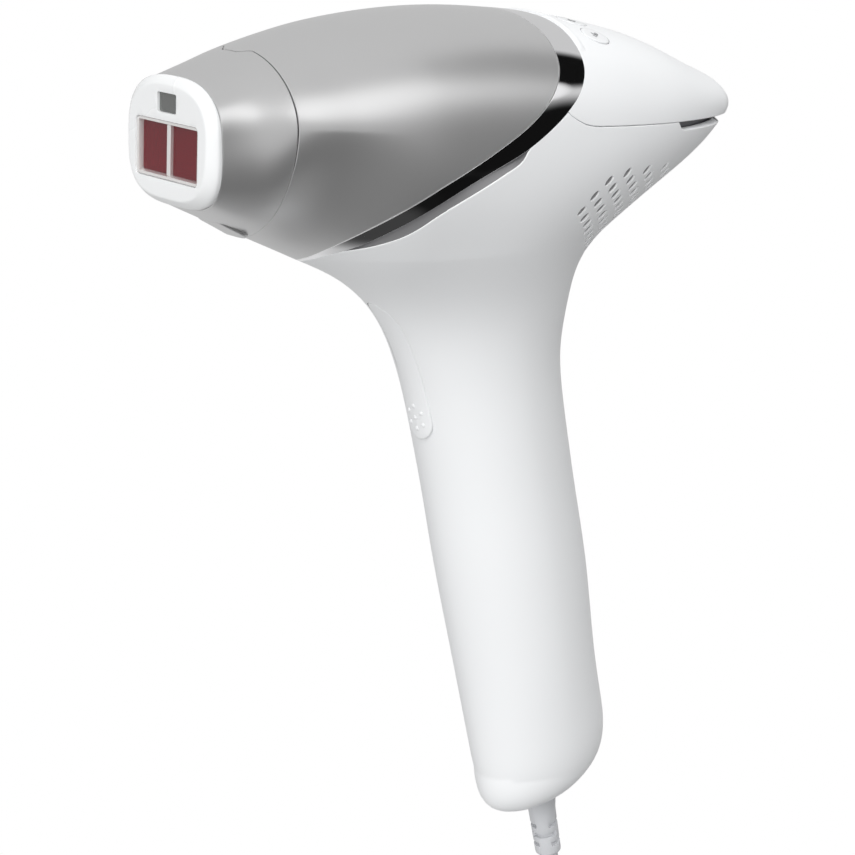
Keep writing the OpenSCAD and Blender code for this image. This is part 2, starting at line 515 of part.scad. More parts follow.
// ---- Socket in the heel and the plug of the cord
module device_socket() color([0.1, 0.1, 0.11]) lean_frame() translate([0, plug_y, 0]) difference() {
    union() {
        translate([-8, -7, plug_top]) cube([16, 14, 17]);
        translate([-9.5, -8, plug_top]) cube([19, 16, 2]);
    }
    translate([0, 0, plug_top - 1]) cylinder(14, d = 6.5, $fn = 32);
}
module supply_plug() color([0.72, 0.73, 0.74]) lean_frame() translate([0, plug_y, 0]) difference() {
    rotate_extrude($fn = 40) polygon([[0, plug_top + 12], [2.9, plug_top + 12], [3.2, plug_top + 11.5],
        [3.2, -87.5], [5, -87.5], [5, -98.8], [4.6, -99.4], [4.5, -101.5], [3.8, -105], [3.7, -109],
        [3.6, relief_end + 0.4], [3.3, relief_end], [0, relief_end]]);
    for (k = [0 : 2], a = [45, 225]) rotate(a + 90 * (k % 2)) translate([0, 0, -108.4 - 3 * k]) difference() {
        translate([0, -6, 0]) cube([6, 12, 1.2]);
        translate([0, 0, -1]) cylinder(4, d = 5.4, $fn = 24);
        for (s = [-1, 1]) translate([-1, s * 6.4 - 3.4, -1]) cube([10, 6.8, 4]);
    }
}

// ---- Cord, tied hank and adapter; every piece meets the next face to face
function unit(v) = v / norm(v);
function along(p, i) = unit(p[min(i + 1, len(p) - 1)] - p[max(i - 1, 0)]);
module tube(p, r, n) {
    rings = [for (i = [0 : len(p) - 1])
             let (t = along(p, i), u = unit(cross([1, 0.02, 0.01], t)), v = cross(t, u))
             for (k = [0 : n - 1]) p[i] + r * (cos(360 * k / n) * u + sin(360 * k / n) * v)];
    faces = concat([[for (k = [n - 1 : -1 : 0]) k]], [[for (k = [0 : n - 1]) (len(p) - 1) * n + k]],
                   [for (i = [0 : len(p) - 2], k = [0 : n - 1]) let (j = (k + 1) % n)
                    each [[i * n + k, i * n + j, (i + 1) * n + k],
                          [i * n + j, (i + 1) * n + j, (i + 1) * n + k]]]);
    polyhedron(rings, [for (f = faces) [for (i = [len(f) - 1 : -1 : 0]) f[i]]], convexity = 4);
}
module cord_lead() color([0.78, 0.79, 0.8]) tube(LEAD_ROUTE, cord_d / 2, 12);
module cord_tail() color([0.78, 0.79, 0.8]) tube(TAIL_ROUTE, cord_d / 2, 12);
module stadium(w, run) hull() for (s = [-1, 1]) translate([0, s * run / 2]) circle(d = w, $fn = 40);
module cord_hank() color([0.78, 0.79, 0.8]) translate([0, hank_y + hank_t / 2, (hank_top + hank_low) / 2])
    rotate([90, 0, 0]) linear_extrude(hank_t) difference() {
        stadium(hank_w, hank_run);
        stadium(2 * bend_r - cord_d, hank_run);
    }
module cord_tie() color([0.3, 0.3, 0.31]) translate([0, hank_y, (hank_top + hank_low) / 2 - 6])
    linear_extrude(12) difference() {
        rounded(hank_w + 2.4, hank_t + 2.4, 3);
        rounded(hank_w, hank_t, 0.01);
    }
module adapter_body() color([0.85, 0.86, 0.86]) translate([0, hank_y, adapter_top - adapter[2] + 8]) union() {
    translate([0, 0, -6]) linear_extrude(adapter[2] - 12, $fn = 24) rounded(adapter[0], adapter[1], 5);
    translate([0, 0, -8]) linear_extrude(2, scale = [1, 1]) rounded(adapter[0] - 2, adapter[1] - 2, 4);
    translate([0, 0, adapter[2] - 18]) linear_extrude(2) rounded(adapter[0] - 2, adapter[1] - 2, 4);
}
bush_low = adapter_top - 8;
bush_len = hank_low - 12 - bush_low;
module adapter_bush() color([0.78, 0.79, 0.8]) translate([0, hank_y, bush_low]) rotate_extrude($fn = 32)
    polygon([[0, 0], [5, 0], [5, 3], [3.6, 6], [3.4, bush_len], [0, bush_len]]);
module adapter_pins() color([0.75, 0.75, 0.76]) for (s = [-1, 1])
    translate([s * pin_spacing / 2, hank_y, adapter_top - adapter[2] - 19]) rotate_extrude($fn = 32)
        polygon([[0, 0], [pin_d / 2 - 0.6, 0], [pin_d / 2, 1], [pin_d / 2, 19], [0, 19]]);

body_shell();
rear_cover();
top_cover();
front_cover();
trim_ring();
attachment_sleeve();
attachment_rim();
window_frame();
filter_glass();
window_bar();
sensor_window();
nose_frame();
lamp_glass();
reflector();
flash_tube();
lamp_holders();
skin_sensor();
heat_sink();
fan_housing();
fan_rotor();
fan_shaft();
head_chassis();
main_board();
trigger_transformer();
energy_capacitor();
handle_frame();
power_key();
plus_key();
minus_key();
sensor_key();
mode_key();
key_board();
flash_button();
button_pin();
button_bracket();
button_spring();
button_switch();
device_socket();
supply_plug();
rear_screws();
cord_lead();
cord_hank();
cord_tie();
cord_tail();
adapter_body();
adapter_bush();
adapter_pins();
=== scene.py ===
"""IPL hair remover: the looks, built over the CAD frame.

The form's lines are in millimetres in the row frame (x across, -y towards the window, +z up),
and every mesh is turned into metres when its object is made."""

from math import cos, pi, radians, sin, sqrt, tan

import bmesh
import bpy
import numpy as np
from mathutils import Matrix, Vector, kdtree


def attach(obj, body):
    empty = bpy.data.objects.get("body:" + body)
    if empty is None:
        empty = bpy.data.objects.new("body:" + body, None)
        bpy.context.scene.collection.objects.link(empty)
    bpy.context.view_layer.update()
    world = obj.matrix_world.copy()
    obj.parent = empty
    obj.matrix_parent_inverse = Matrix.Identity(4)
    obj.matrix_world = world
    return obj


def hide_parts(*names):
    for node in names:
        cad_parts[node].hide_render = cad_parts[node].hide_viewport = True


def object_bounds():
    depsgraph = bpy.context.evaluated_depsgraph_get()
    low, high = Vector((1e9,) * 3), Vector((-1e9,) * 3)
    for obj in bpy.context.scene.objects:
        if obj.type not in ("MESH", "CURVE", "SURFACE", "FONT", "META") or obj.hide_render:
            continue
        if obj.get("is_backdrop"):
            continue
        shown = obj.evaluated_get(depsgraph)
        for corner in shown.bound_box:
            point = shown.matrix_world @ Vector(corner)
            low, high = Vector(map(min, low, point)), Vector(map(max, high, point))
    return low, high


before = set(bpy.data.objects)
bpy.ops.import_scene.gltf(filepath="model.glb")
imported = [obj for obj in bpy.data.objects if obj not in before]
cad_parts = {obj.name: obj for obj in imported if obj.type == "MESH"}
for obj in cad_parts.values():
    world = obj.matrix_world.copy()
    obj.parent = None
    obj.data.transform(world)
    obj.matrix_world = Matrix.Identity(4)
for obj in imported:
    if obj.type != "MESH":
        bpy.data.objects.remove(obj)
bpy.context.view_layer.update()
MM = 0.001



def linked(name, data):
    """A new object in the scene."""
    obj = bpy.data.objects.new(name, data)
    bpy.context.scene.collection.objects.link(obj)
    return obj


def dress(obj, body, *nodes, slot=None):
    """Puts a piece on its body, in place of its CAD nodes; slot is not used."""
    if nodes:
        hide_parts(*nodes)
    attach(obj, body)


# ---- camera
CAM_AZ, CAM_EL, CAM_DIST = radians(53.22), radians(15.37), 641 * MM
CAM_TARGET = Vector((0, -21.86, 12.71)) * MM
cam_data = bpy.data.cameras.new("camera")
cam_data.lens = 105.26
cam_data.sensor_width = 36
cam = linked("camera", cam_data)
cam.location = CAM_TARGET + CAM_DIST * Vector((sin(CAM_AZ) * cos(CAM_EL),
                                               -cos(CAM_AZ) * cos(CAM_EL), sin(CAM_EL)))
cam.rotation_euler = (CAM_TARGET - cam.location).to_track_quat("-Z", "Y").to_euler()
bpy.context.scene.camera = cam
bpy.context.scene.view_settings.view_transform = "Standard"

# ---- lines of the form (mm)
HEAD_Y = [-100, -86, -77, -62, -44, -22, 0, 20, 38, 54, 66, 73]
TOP = [106, 111, 114, 117.5, 119.5, 120, 118, 114.5, 109.5, 102.5, 97, 92]
UNDER = [81, 73.5, 69, 63, 59, 57.5, 58, 61, 68, 76, 85.5, 87.5]
WIDEST = [96, 96.5, 97, 96, 94, 92, 90.5, 90, 90, 90.5, 90.5, 90]
HALF_W = [18.5, 21, 25, 29, 32.5, 34, 34, 32.5, 29, 23, 17, 14]
POWER_Y = [-94, -77, -40, 10, 66]
POWER_UP = [2.6, 2.0, 2.1, 2.2, 2.0]
POWER_LOW = [3.3, 1.7, 2.0, 2.1, 2.0]
GRIP_Z = [-88, -58, -28, 0, 28, 46, 62]
GRIP_Y = [17.5, 11, 5.5, 0, -5.5, -8.5, -14.5]
GRIP_D = [21, 20.5, 21.5, 21.5, 22.5, 24.5, 25]
GRIP_W = [16, 18, 19, 19, 19.5, 20.5, 22]
FRONT_Y, TAIL_Y, TAIL_PLAN, TAIL_SIDE = -101, 73, 13, 4.5
HEEL_Z, HEEL_SLOPE, HEEL_ROUND, BLEND = -97, radians(22), 22.5, 42
GRIP_POWER, GRIP_TOP, GRIP_FADE = 1.9, 62, 16

# Edges of the covers in the side view, as (z, y) points, and the panel's edge as (y, z) points
SILVER_EDGE = [(56, -62), (62, -61.5), (69, -56.4), (75.5, -49.3), (80.5, -42.3), (88.5, -27), (93, -18.5),
               (99.5, -9.5), (105.5, -4.5), (111, -2.4), (124, -2.2)]
RING_EDGE = [(56, -61.5), (62, -60.3), (66, -55), (72, -48), (77, -41), (81, -34), (88.5, -17), (94.5, -7),
             (100, 0), (104, 3.3), (112, 6.2), (124, 8)]
RECESS_EDGE = [*RING_EDGE[:2], (64.6, -57), (66, -52.8), (67.5, -49.5), (75, -39.4), (83, -24), (85, -20),
               *RING_EDGE[6:9]]
PANEL_EDGE = [(-8, 98.8), (-4.5, 96), (-2, 94.2), (1, 92.7), (4.5, 91.9), (9, 91.5), (23, 90.5), (45, 89.2),
              (60, 88.5), (68, 88.4), (73, 89.9)]
SLEEVE_Y, RIM_Y, HEAD_AXIS_Z, CHAMFER_DEPTH = -77, -94, 92, 1.7


def table(xs, ys, step=0.25):
    """A smooth line through the points, as fine steps for np.interp: cubic pieces whose slopes
    weigh the two neighbouring stretches."""
    xs, ys = np.array(xs, float), np.array(ys, float)
    h = np.diff(xs)
    d = np.diff(ys) / h
    m = np.empty(len(xs))
    m[0], m[-1] = d[0], d[-1]
    m[1:-1] = (d[:-1] * h[1:] + d[1:] * h[:-1]) / (h[:-1] + h[1:])
    x = np.linspace(xs[0], xs[-1], int((xs[-1] - xs[0]) / step) + 1)
    i = np.clip(np.searchsorted(xs, x, side="right") - 1, 0, len(xs) - 2)
    t = (x - xs[i]) / h[i]
    y = ((2 * t ** 3 - 3 * t ** 2 + 1) * ys[i] + (t ** 3 - 2 * t ** 2 + t) * h[i] * m[i]
         + (3 * t ** 2 - 2 * t ** 3) * ys[i + 1] + (t ** 3 - t ** 2) * h[i] * m[i + 1])
    return x, y


def line(xs, ys=None):
    x, y = table(xs, ys) if ys is not None else table(*zip(*xs))
    return lambda v: np.interp(v, x, y)


top_at, under_at = line(HEAD_Y, TOP), line(HEAD_Y, UNDER)
widest_at, half_w_at = line(HEAD_Y, WIDEST), line(HEAD_Y, HALF_W)
power_up_at, power_low_at = line(POWER_Y, POWER_UP), line(POWER_Y, POWER_LOW)
grip_y_at, grip_d_at, grip_w_at = line(GRIP_Z, GRIP_Y), line(GRIP_Z, GRIP_D), line(GRIP_Z, GRIP_W)
silver_edge, ring_edge, recess_edge = line(SILVER_EDGE), line(RING_EDGE), line(RECESS_EDGE)
panel_edge = line(PANEL_EDGE)


def soft_min(a, b, k):
    h = np.maximum(k - np.abs(a - b), 0) / k
    return np.minimum(a, b) - h ** 3 * k / 6


def form(p):
    """The outer form as a level set: 0 on the surface, about -n at n mm inside it."""
    x, y, z = np.abs(p[..., 0]), p[..., 1], p[..., 2]
    yc = np.clip(y, FRONT_Y + 1, TAIL_Y - 0.03)
    plan = np.sqrt(np.maximum(1 - np.clip((yc - TAIL_Y + TAIL_PLAN) / TAIL_PLAN, 0, 1) ** 2, 1e-4))
    side = np.sqrt(np.maximum(1 - np.clip((yc - TAIL_Y + TAIL_SIDE) / TAIL_SIDE, 0, 1) ** 2, 1e-4))
    zw = widest_at(yc)
    hu, hl, b = (top_at(yc) - zw) * side, (zw - under_at(yc)) * side, np.maximum(half_w_at(yc) * plan, 0.05)
    up = z > zw
    h, n = np.maximum(np.where(up, hu, hl), 0.05), np.where(up, power_up_at(yc), power_low_at(yc))
    r = ((x / b) ** n + (np.abs(z - zw) / h) ** n + 1e-12) ** (1 / n)
    head = np.maximum((r - 1) * np.minimum(b, (hu + hl) / 2), np.maximum(FRONT_Y - y, y - TAIL_Y))
    zc = np.clip(z, GRIP_Z[0], GRIP_TOP)
    d, w = grip_d_at(zc), grip_w_at(zc)
    r = ((x / w) ** GRIP_POWER + (np.abs(y - grip_y_at(zc)) / d) ** GRIP_POWER + 1e-12) ** (1 / GRIP_POWER)
    grip = -soft_min(-(r - 1) * np.minimum(w, d), GRIP_TOP - z, GRIP_FADE)
    heel = (HEEL_Z - z + tan(HEEL_SLOPE) * (y - GRIP_Y[0])) * cos(HEEL_SLOPE)
    return soft_min(head, -soft_min(-grip, -heel, HEEL_ROUND), BLEND)


def lengths(p):
    """The length run so far at each of a line's points."""
    step = np.linalg.norm(np.diff(p, axis=0), axis=-1)
    return np.concatenate([np.zeros_like(step[:1]), np.cumsum(step, 0)])


def around(count):
    """Angles of a full turn."""
    return np.linspace(0, 2 * np.pi, count, endpoint=False)


def unit(v):
    return v / np.maximum(np.linalg.norm(v, axis=-1, keepdims=True), 1e-12)


def slope(p, e=0.15):
    """The form's gradient."""
    return np.stack([(form(p + e * a) - form(p - e * a)) / (2 * e) for a in np.eye(3)], -1)


def normal(p):
    return unit(slope(p))


def halved(low, high, past, times=22):
    """Where past turns true between low and high, for each point."""
    for _ in range(times):
        mid = (low + high) / 2
        over = past(mid)
        high, low = np.where(over, mid, high), np.where(over, low, mid)
    return (low + high) / 2


def march(origin, way, far, level=0.0):
    """The points where rays that start inside the form reach that level, up to far along way."""
    shape = np.broadcast(origin[..., 0], way[..., 0]).shape
    run = halved(np.zeros(shape), np.full(shape, float(far)), lambda r: form(origin + r[..., None] * way) > level, 24)
    return origin + run[..., None] * way


def onto(p, level=0.0, times=3):
    """The points moved square to the form's surface until they lie on it."""
    for _ in range(times):
        g = slope(p)
        p = p - g * ((form(p) - level) / np.maximum((g * g).sum(-1), 0.05))[..., None]
    return p


# ---- meshes
def read(items, key, width=1, kind=float):
    """An array of a property of a mesh's items."""
    out = np.empty(len(items) * width, kind)
    items.foreach_get(key, out)
    return out.reshape(-1, width) if width > 1 else out


def tidy_faces(verts, faces, normals=None):
    """Merges vertices that coincide, and drops what is left of faces that had collapsed."""
    key = np.round(verts * 2e4).astype(np.int64)
    _, first, back = np.unique(key, axis=0, return_index=True, return_inverse=True)
    back = back.reshape(-1)
    out = []
    for f in back[faces]:
        g = [a for i, a in enumerate(f) if a != f[i - 1]]
        if len(g) >= 3 and len(set(g)) == len(g):
            out.append(g)
    return verts[first], out, None if normals is None else normals[first]


def make(name, verts, faces, mat, normals=None, sharp=None):
    """A mesh object from points in mm."""
    mesh = bpy.data.meshes.new(name)
    mesh.from_pydata((np.asarray(verts) * MM).tolist(), [], [list(map(int, f)) for f in faces])
    bm = bmesh.new()
    bm.from_mesh(mesh)
    bmesh.ops.recalc_face_normals(bm, faces=bm.faces)
    bm.to_mesh(mesh)
    bm.free()
    mesh.polygons.foreach_set("use_smooth", [True] * len(mesh.polygons))
    mesh.materials.append(mat)
    if normals is not None:
        mesh.normals_split_custom_set_from_vertices(np.asarray(normals).tolist())
    if sharp is not None:
        mesh.set_sharp_from_angle(angle=radians(sharp))
    mesh.update()
    return linked(name, mesh)


def quads(rows, cols, closed=False, start=0):
    i, j = np.meshgrid(np.arange(rows - 1), np.arange(cols if closed else cols - 1), indexing="ij")
    k = (j + 1) % cols
    f = np.stack([i * cols + j, i * cols + k, (i + 1) * cols + k, (i + 1) * cols + j], -1)
    return f.reshape(-1, 4) + start


def piped(name, rings, mat, sharp=None):
    """A closed skin over rings of points."""
    v, f, _ = tidy_faces(rings.reshape(-1, 3), quads(*rings.shape[:2], True))
    return make(name, v, f, mat, sharp=sharp)


def round_edge(idx):
    """The indices round the outside of an open grid."""
    return np.concatenate([idx[0], idx[1:-1, -1], idx[-1][::-1], idx[1:-1, 0][::-1]])


class Cover:
    """A moulded cover: an outer skin given as a grid of points, rounded at its free edges and
    backed by an inner skin. first says whether the grid's first row is a free edge too."""

    def __init__(self, p, closed, thick=2.0, round_r=0.25, gap=0.1, first=True):
        self.p, self.closed, self.thick, self.r = p.copy(), closed, thick, round_r
        rows, cols = p.shape[:2]
        idx = np.arange(rows * cols).reshape(rows, cols)
        self.loops = []
        if closed:
            if first:
                self.loops.append((idx[0], idx[1]))
            self.loops.append((idx[-1][::-1], idx[-2][::-1]))
        else:
            rim = round_edge(idx)
            inner = np.clip(np.stack(np.unravel_index(rim, (rows, cols)), -1), 1, [rows - 2, cols - 2])
            self.loops.append((rim, inner[:, 0] * cols + inner[:, 1]))
        flat = self.p.reshape(-1, 3)
        for rim, inner in self.loops:
            out = self.outward(flat, rim, inner)
            room = np.linalg.norm(flat[rim] - flat[inner], axis=-1)
            shift = np.minimum(gap + round_r, 0.45 * room)
            flat[rim] = onto(flat[rim] - out * shift[:, None])
        self.n = normal(flat)

    @staticmethod
    def outward(flat, rim, inner):
        """The way out of the cover, along its skin, at each point of the free edge."""
        n = normal(flat[rim])
        run = np.roll(flat[rim], -1, 0) - np.roll(flat[rim], 1, 0)
        out = unit(np.cross(n, unit(run)))
        away = flat[rim] - flat[inner]
        flip = np.sign((out * away).sum(-1, keepdims=True))
        return out * np.where(flip == 0, 1, flip)

    def build(self, name, mat, lift=None, chamfer=None):
        """lift raises the outer skin by that many mm at each point. chamfer(points) is the width of
        a slope that leads from the edge down to CHAMFER_DEPTH."""
        flat, n = self.p.reshape(-1, 3), self.n
        rows, cols = self.p.shape[:2]
        outer = flat if lift is None else flat + n * lift.reshape(-1)[:, None]
        back = flat - n * self.thick
        verts, norms = [outer, back], [n.copy(), -n]
        if lift is not None:
            grid = outer.reshape(rows, cols, 3)
            du = (np.roll(grid, -1, 1) - np.roll(grid, 1, 1)) if self.closed else np.gradient(grid, axis=1)
            m = unit(np.cross(du, np.gradient(grid, axis=0))).reshape(-1, 3)
            m *= np.sign((m * n).sum(-1, keepdims=True))
            bad = ~np.isfinite(m).all(-1) | (np.abs((m * n).sum(-1)) < 0.2)
            norms[0] = np.where(bad[:, None], n, m)
        faces = [quads(rows, cols, self.closed), quads(rows, cols, self.closed, len(flat))[:, ::-1]]
        count = 2 * len(flat)
        for rim, inner in self.loops:
            out, nn, base = self.outward(flat, rim, inner), n[rim], outer[rim]
            strips = [(base + self.r * (sin(a) * out - (1 - cos(a)) * nn),
                       sin(a) * out + cos(a) * nn) for a in np.radians([22.5, 45, 67.5, 90])]
            edge = strips[-1][0]
            if chamfer is not None:
                width = chamfer(flat[rim])[:, None]
                fall = np.where(width > 0.05, CHAMFER_DEPTH, 0.05)
                tilt = unit(nn * np.maximum(width, 0.02) + out * fall)
                strips += [(edge + share * (out * width - nn * (fall + 0.001)), tilt if share else out)
                           for share in (0, 0.03, 0.5, 1)]
                edge = strips[-1][0]
                strips.append((edge, out))
            low = edge - nn * (((edge - flat[rim]) * nn).sum(-1, keepdims=True) + self.thick)
            ring = [rim]
            for s, d in strips + [(low, out), (low, -nn)]:
                verts.append(s)
                norms.append(unit(d))
                ring.append(np.arange(len(rim)) + count)
                count += len(rim)
            ring.append(rim + len(flat))
            for a, b in zip(ring[:-1], ring[1:]):
                faces.append(np.stack([a, b, np.roll(b, -1), np.roll(a, -1)], -1))
        verts, norms, faces = np.concatenate(verts), np.concatenate(norms), np.concatenate(faces)
        # every face turned so that it agrees with its points' own normals
        mid = np.cross(verts[faces[:, 2]] - verts[faces[:, 0]], verts[faces[:, 3]] - verts[faces[:, 1]])
        wrong = (mid * norms[faces].mean(1)).sum(-1) < 0
        faces[wrong] = faces[wrong][:, ::-1]
        verts, faces, norms = tidy_faces(verts, faces, norms)
        return make(name, verts, faces, mat, norms)


# ---- materials
def feed(tree, target, inputs):
    """Gives a node's inputs their values, or links them to the outputs that feed them."""
    for key, value in inputs.items():
        if isinstance(value, bpy.types.NodeSocket):
            tree.links.new(value, target.inputs[key])
        else:
            target.inputs[key].default_value = value


def node(tree, kind, inputs=None, **settings):
    new = tree.nodes.new("ShaderNode" + kind)
    for key, value in settings.items():
        setattr(new, key, value)
    feed(tree, new, inputs or {})
    return new


def material(name, color, rough, metallic=0.0, coat=0.0, spread=0.03, grain=0.0, grain_size=400.0, **sockets):
    """A plastic, paint or metal: the colour varies a little over the piece, the roughness too, and
    grain is the depth of a fine surface texture in mm."""
    mat = bpy.data.materials.new(name)
    mat.use_nodes = True
    tree = mat.node_tree
    where = node(tree, "TexCoord").outputs["Object"]
    broad = node(tree, "TexNoise", {"Scale": 22, "Detail": 4, "Vector": where}).outputs["Fac"]
    tint = node(tree, "Mix", {"Factor": broad, "A": (*[c * (1 - spread) for c in color], 1),
                              "B": (*[min(1, c * (1 + spread)) for c in color], 1)}, data_type="RGBA")
    band = node(tree, "MapRange", {"Value": broad, "To Min": rough * 0.9, "To Max": rough * 1.1})
    shader = tree.nodes["Principled BSDF"]
    feed(tree, shader, {"Metallic": metallic, "Coat Weight": coat, "Coat Roughness": 0.08,
                        "Base Color": tint.outputs["Result"], "Roughness": band.outputs["Result"]})
    feed(tree, shader, {key.replace("_", " "): value for key, value in sockets.items()})
    if grain:
        fine = node(tree, "TexNoise", {"Scale": grain_size, "Detail": 3, "Vector": where}).outputs["Fac"]
        bump = node(tree, "Bump", {"Distance": grain * MM, "Height": fine})
        feed(tree, shader, {"Normal": bump.outputs["Normal"]})
    return mat


WHITE = material("white_cover", (0.80, 0.81, 0.82), 0.38, spread=0.008, grain=0.008, grain_size=900)
RIM_WHITE = material("white_rim", (0.80, 0.81, 0.815), 0.28, coat=0.12, spread=0.006)
SILVER = material("silver_cover", (0.61, 0.61, 0.612), 0.35, metallic=0.75, grain=0.006, grain_size=2500)
CHROME = material("chrome_trim", (0.90, 0.90, 0.91), 0.05, metallic=1.0, spread=0.01)
WINDOW_METAL = material("window_metal", (0.88, 0.86, 0.85), 0.25, metallic=0.7, grain=0.004)
RED_GLASS = material("filter_glass", (0.36, 0.004, 0.02), 0.02, spread=0.25, Transmission_Weight=0.7, IOR=1.45)
SENSOR = material("sensor_glass", (0.20, 0.205, 0.20), 0.18, metallic=0.7, spread=0.25)
# dark grey for the tail liner, and painted shade on the walls of the flash button's opening
DARK = material("dark_liner_and_painted_shade", (0.10, 0.10, 0.11), 0.45, spread=0.1, grain=0.01)
KEY_WHITE = material("key_white", (0.78, 0.79, 0.80), 0.3, coat=0.2, spread=0.01)
KEY_RING = material("key_ring", (0.13, 0.135, 0.14), 0.35, spread=0.05)
CORD_GREY = material("cord_grey", (0.56, 0.57, 0.59), 0.42, grain=0.02, grain_size=700)
TIE_DARK = material("tie_dark", (0.06, 0.06, 0.065), 0.5, spread=0.1, grain=0.03, grain_size=1500)
ADAPTER_WHITE = material("adapter_white", (0.74, 0.75, 0.76), 0.35, spread=0.01, grain=0.01, grain_size=900)
PIN_METAL = material("pin_metal", (0.72, 0.72, 0.74), 0.25, metallic=1.0)
DARK_FRAME = material("dark_frame", (0.05, 0.05, 0.055), 0.5, spread=0.1, grain=0.01)
FAN_GREY = material("fan_grey", (0.09, 0.09, 0.10), 0.4, spread=0.1)
CERAMIC = material("ceramic", (0.78, 0.76, 0.72), 0.45)
HEAT_METAL = material("heat_metal", (0.62, 0.63, 0.65), 0.4, metallic=0.9, spread=0.05, grain=0.01)
BOARD_GREEN = material("board_green", (0.02, 0.16, 0.07), 0.4, coat=0.3, spread=0.15)
COPPER = material("coil_copper", (0.55, 0.25, 0.11), 0.35, metallic=0.9, spread=0.1, grain=0.05, grain_size=3000)
SLEEVE_BLUE = material("capacitor_sleeve", (0.03, 0.05, 0.16), 0.35, coat=0.3, spread=0.05)
STEEL = material("steel", (0.58, 0.58, 0.6), 0.3, metallic=1.0, spread=0.05)
MIRROR = material("mirror_metal", (0.86, 0.85, 0.85), 0.12, metallic=1.0, spread=0.02)
CLEAR = material("clear_glass", (0.95, 0.96, 0.97), 0.03, spread=0.01, Transmission_Weight=1.0, IOR=1.48)
# painted shade: darker grey for the deep parts of the vent dimples
VENT_PAINTED_SHADE = material("vent_painted_shade", (0.24, 0.24, 0.245), 0.5, spread=0.05)
# painted shade: dark grey for the slope of the recess under the ring
RECESS_PAINTED_SHADE = material("recess_painted_shade", (0.20, 0.20, 0.205), 0.3, metallic=0.3, spread=0.05)
# painted highlight: a light grey for the rounded back edge of the silver cover
SILVER_LIP_PAINTED_HIGHLIGHT = material("silver_lip_painted_highlight", (0.80, 0.80, 0.80), 0.4, metallic=0.2, spread=0.02)


def paint(obj, mat, test, least=0.1):
    """Another material on the faces of a cover that look outwards by at least that and pass the test."""
    mesh = obj.data
    mid, face = read(mesh.polygons, "center", 3) / MM, read(mesh.polygons, "normal", 3)
    pick = (form(mid) > -1.9) & ((face * normal(mid)).sum(-1) > least) & test(mid, face)
    mesh.materials.append(mat)
    index = read(mesh.polygons, "material_index", kind=int)
    index[pick] = len(mesh.materials) - 1
    mesh.polygons.foreach_set("material_index", index)


# ---- covers of the head
def loops_between(y_from, y_to, rows, cols):
    """Closed loops of points round the head's long axis. y_from and y_to give, for points on the
    skin, how far they are past the first and the last edge (mm along y)."""
    a = around(cols)
    way = np.stack([np.sin(a), np.zeros(cols), np.cos(a)], -1)

    def at(y):
        return march(np.stack([0 * y, y, 0 * y + HEAD_AXIS_Z], -1), way, 60)

    y0, y1 = [halved(np.full(cols, -98.0), np.full(cols, 12.0), lambda y: past(at(y)) > 0) for past in (y_from, y_to)]
    return at(y0[None] + (y1 - y0)[None] * np.linspace(0, 1, rows)[:, None])


def past_sleeve(shift=0.0):
    """The parting line behind the attachment, with a tongue on top that reaches into the sleeve."""
    def past(p):
        side = np.clip((6.4 - np.abs(p[..., 0])) / 4.0, 0, 1)
        reach = 2.4 * side * side * (3 - 2 * side) * (p[..., 2] > 100)
        return p[..., 1] - (SLEEVE_Y - reach) - shift * (1 + 4 * side * (1 - side) * 1.6 * (p[..., 2] > 100))
    return past


def past_edge(edge):
    return lambda p: p[..., 1] - edge(p[..., 2])


front_grid = loops_between(past_sleeve(), past_edge(silver_edge), 90, 360)
front_cover = Cover(front_grid, True, round_r=0.2, gap=0.05).build("front_cover_skin", SILVER)
# painted highlight: the rounded back edge of the silver cover gets a light, less metallic grey
paint(front_cover, SILVER_LIP_PAINTED_HIGHLIGHT, lambda p, n: p[:, 1] > silver_edge(p[:, 2]) - 0.33)
dress(front_cover, "device", "front_cover")

ring_grid = loops_between(past_edge(silver_edge), past_edge(ring_edge), 25, 360)
across = np.linspace(0, 1, 25)[:, None]
ring_width = np.linalg.norm(ring_grid[-1] - ring_grid[0], axis=-1)[None]
ring_lift = np.minimum(ring_width * 0.012, 0.06) * (1 - (2 * across - 1) ** 2) + 0.02
trim_ring = Cover(ring_grid, True, thick=2.4, round_r=0.08, gap=0.03).build("trim_ring_skin", CHROME, lift=ring_lift)
dress(trim_ring, "device", "trim_ring")


def top_grid(rows, cols):
    """The top cover: fans across the head between the panel's edges, from the ring to the tail."""
    a = np.radians(np.linspace(-90, 90, cols))
    way = np.stack([np.sin(a), np.zeros(cols), np.cos(a)], -1)

    def at(y):
        return march(np.stack([0 * y, y, panel_edge(y)], -1), way, 60)

    start = halved(np.full(cols, -8.0), np.full(cols, 12.0), lambda y: past_edge(ring_edge)(at(y)) > 0)
    near = np.linspace(0, 3.2, 17) / 75
    tail = 1 - np.cos(np.linspace(0, np.pi / 2, rows))
    rest = near[-1] + (1 - near[-1]) * (0.35 * np.linspace(0, 1, rows) + 0.65 * (1 - tail[::-1]))[1:]
    s = np.concatenate([near, np.minimum(rest, 1)])
    return at(start[None] + (TAIL_Y - 0.02 - start)[None] * s[:, None])


LIP_HALF, LIP_W, LIP_H = 25, 2.3, 0.5
panel_points = top_grid(110, 181)
d_edge = panel_points[..., 1] - ring_edge(panel_points[..., 2])
ends = np.clip((LIP_HALF - np.abs(panel_points[..., 0])) / 2.5, 0, 1)
lip = LIP_H * np.sqrt(np.clip(1 - (d_edge / (LIP_W / 2) - 1) ** 2, 0, 1)) * np.sqrt(np.clip(ends * (2 - ends), 0, 1))
top_cover = Cover(panel_points, False, round_r=0.25, gap=0.14).build("top_cover_skin", WHITE, lift=lip)


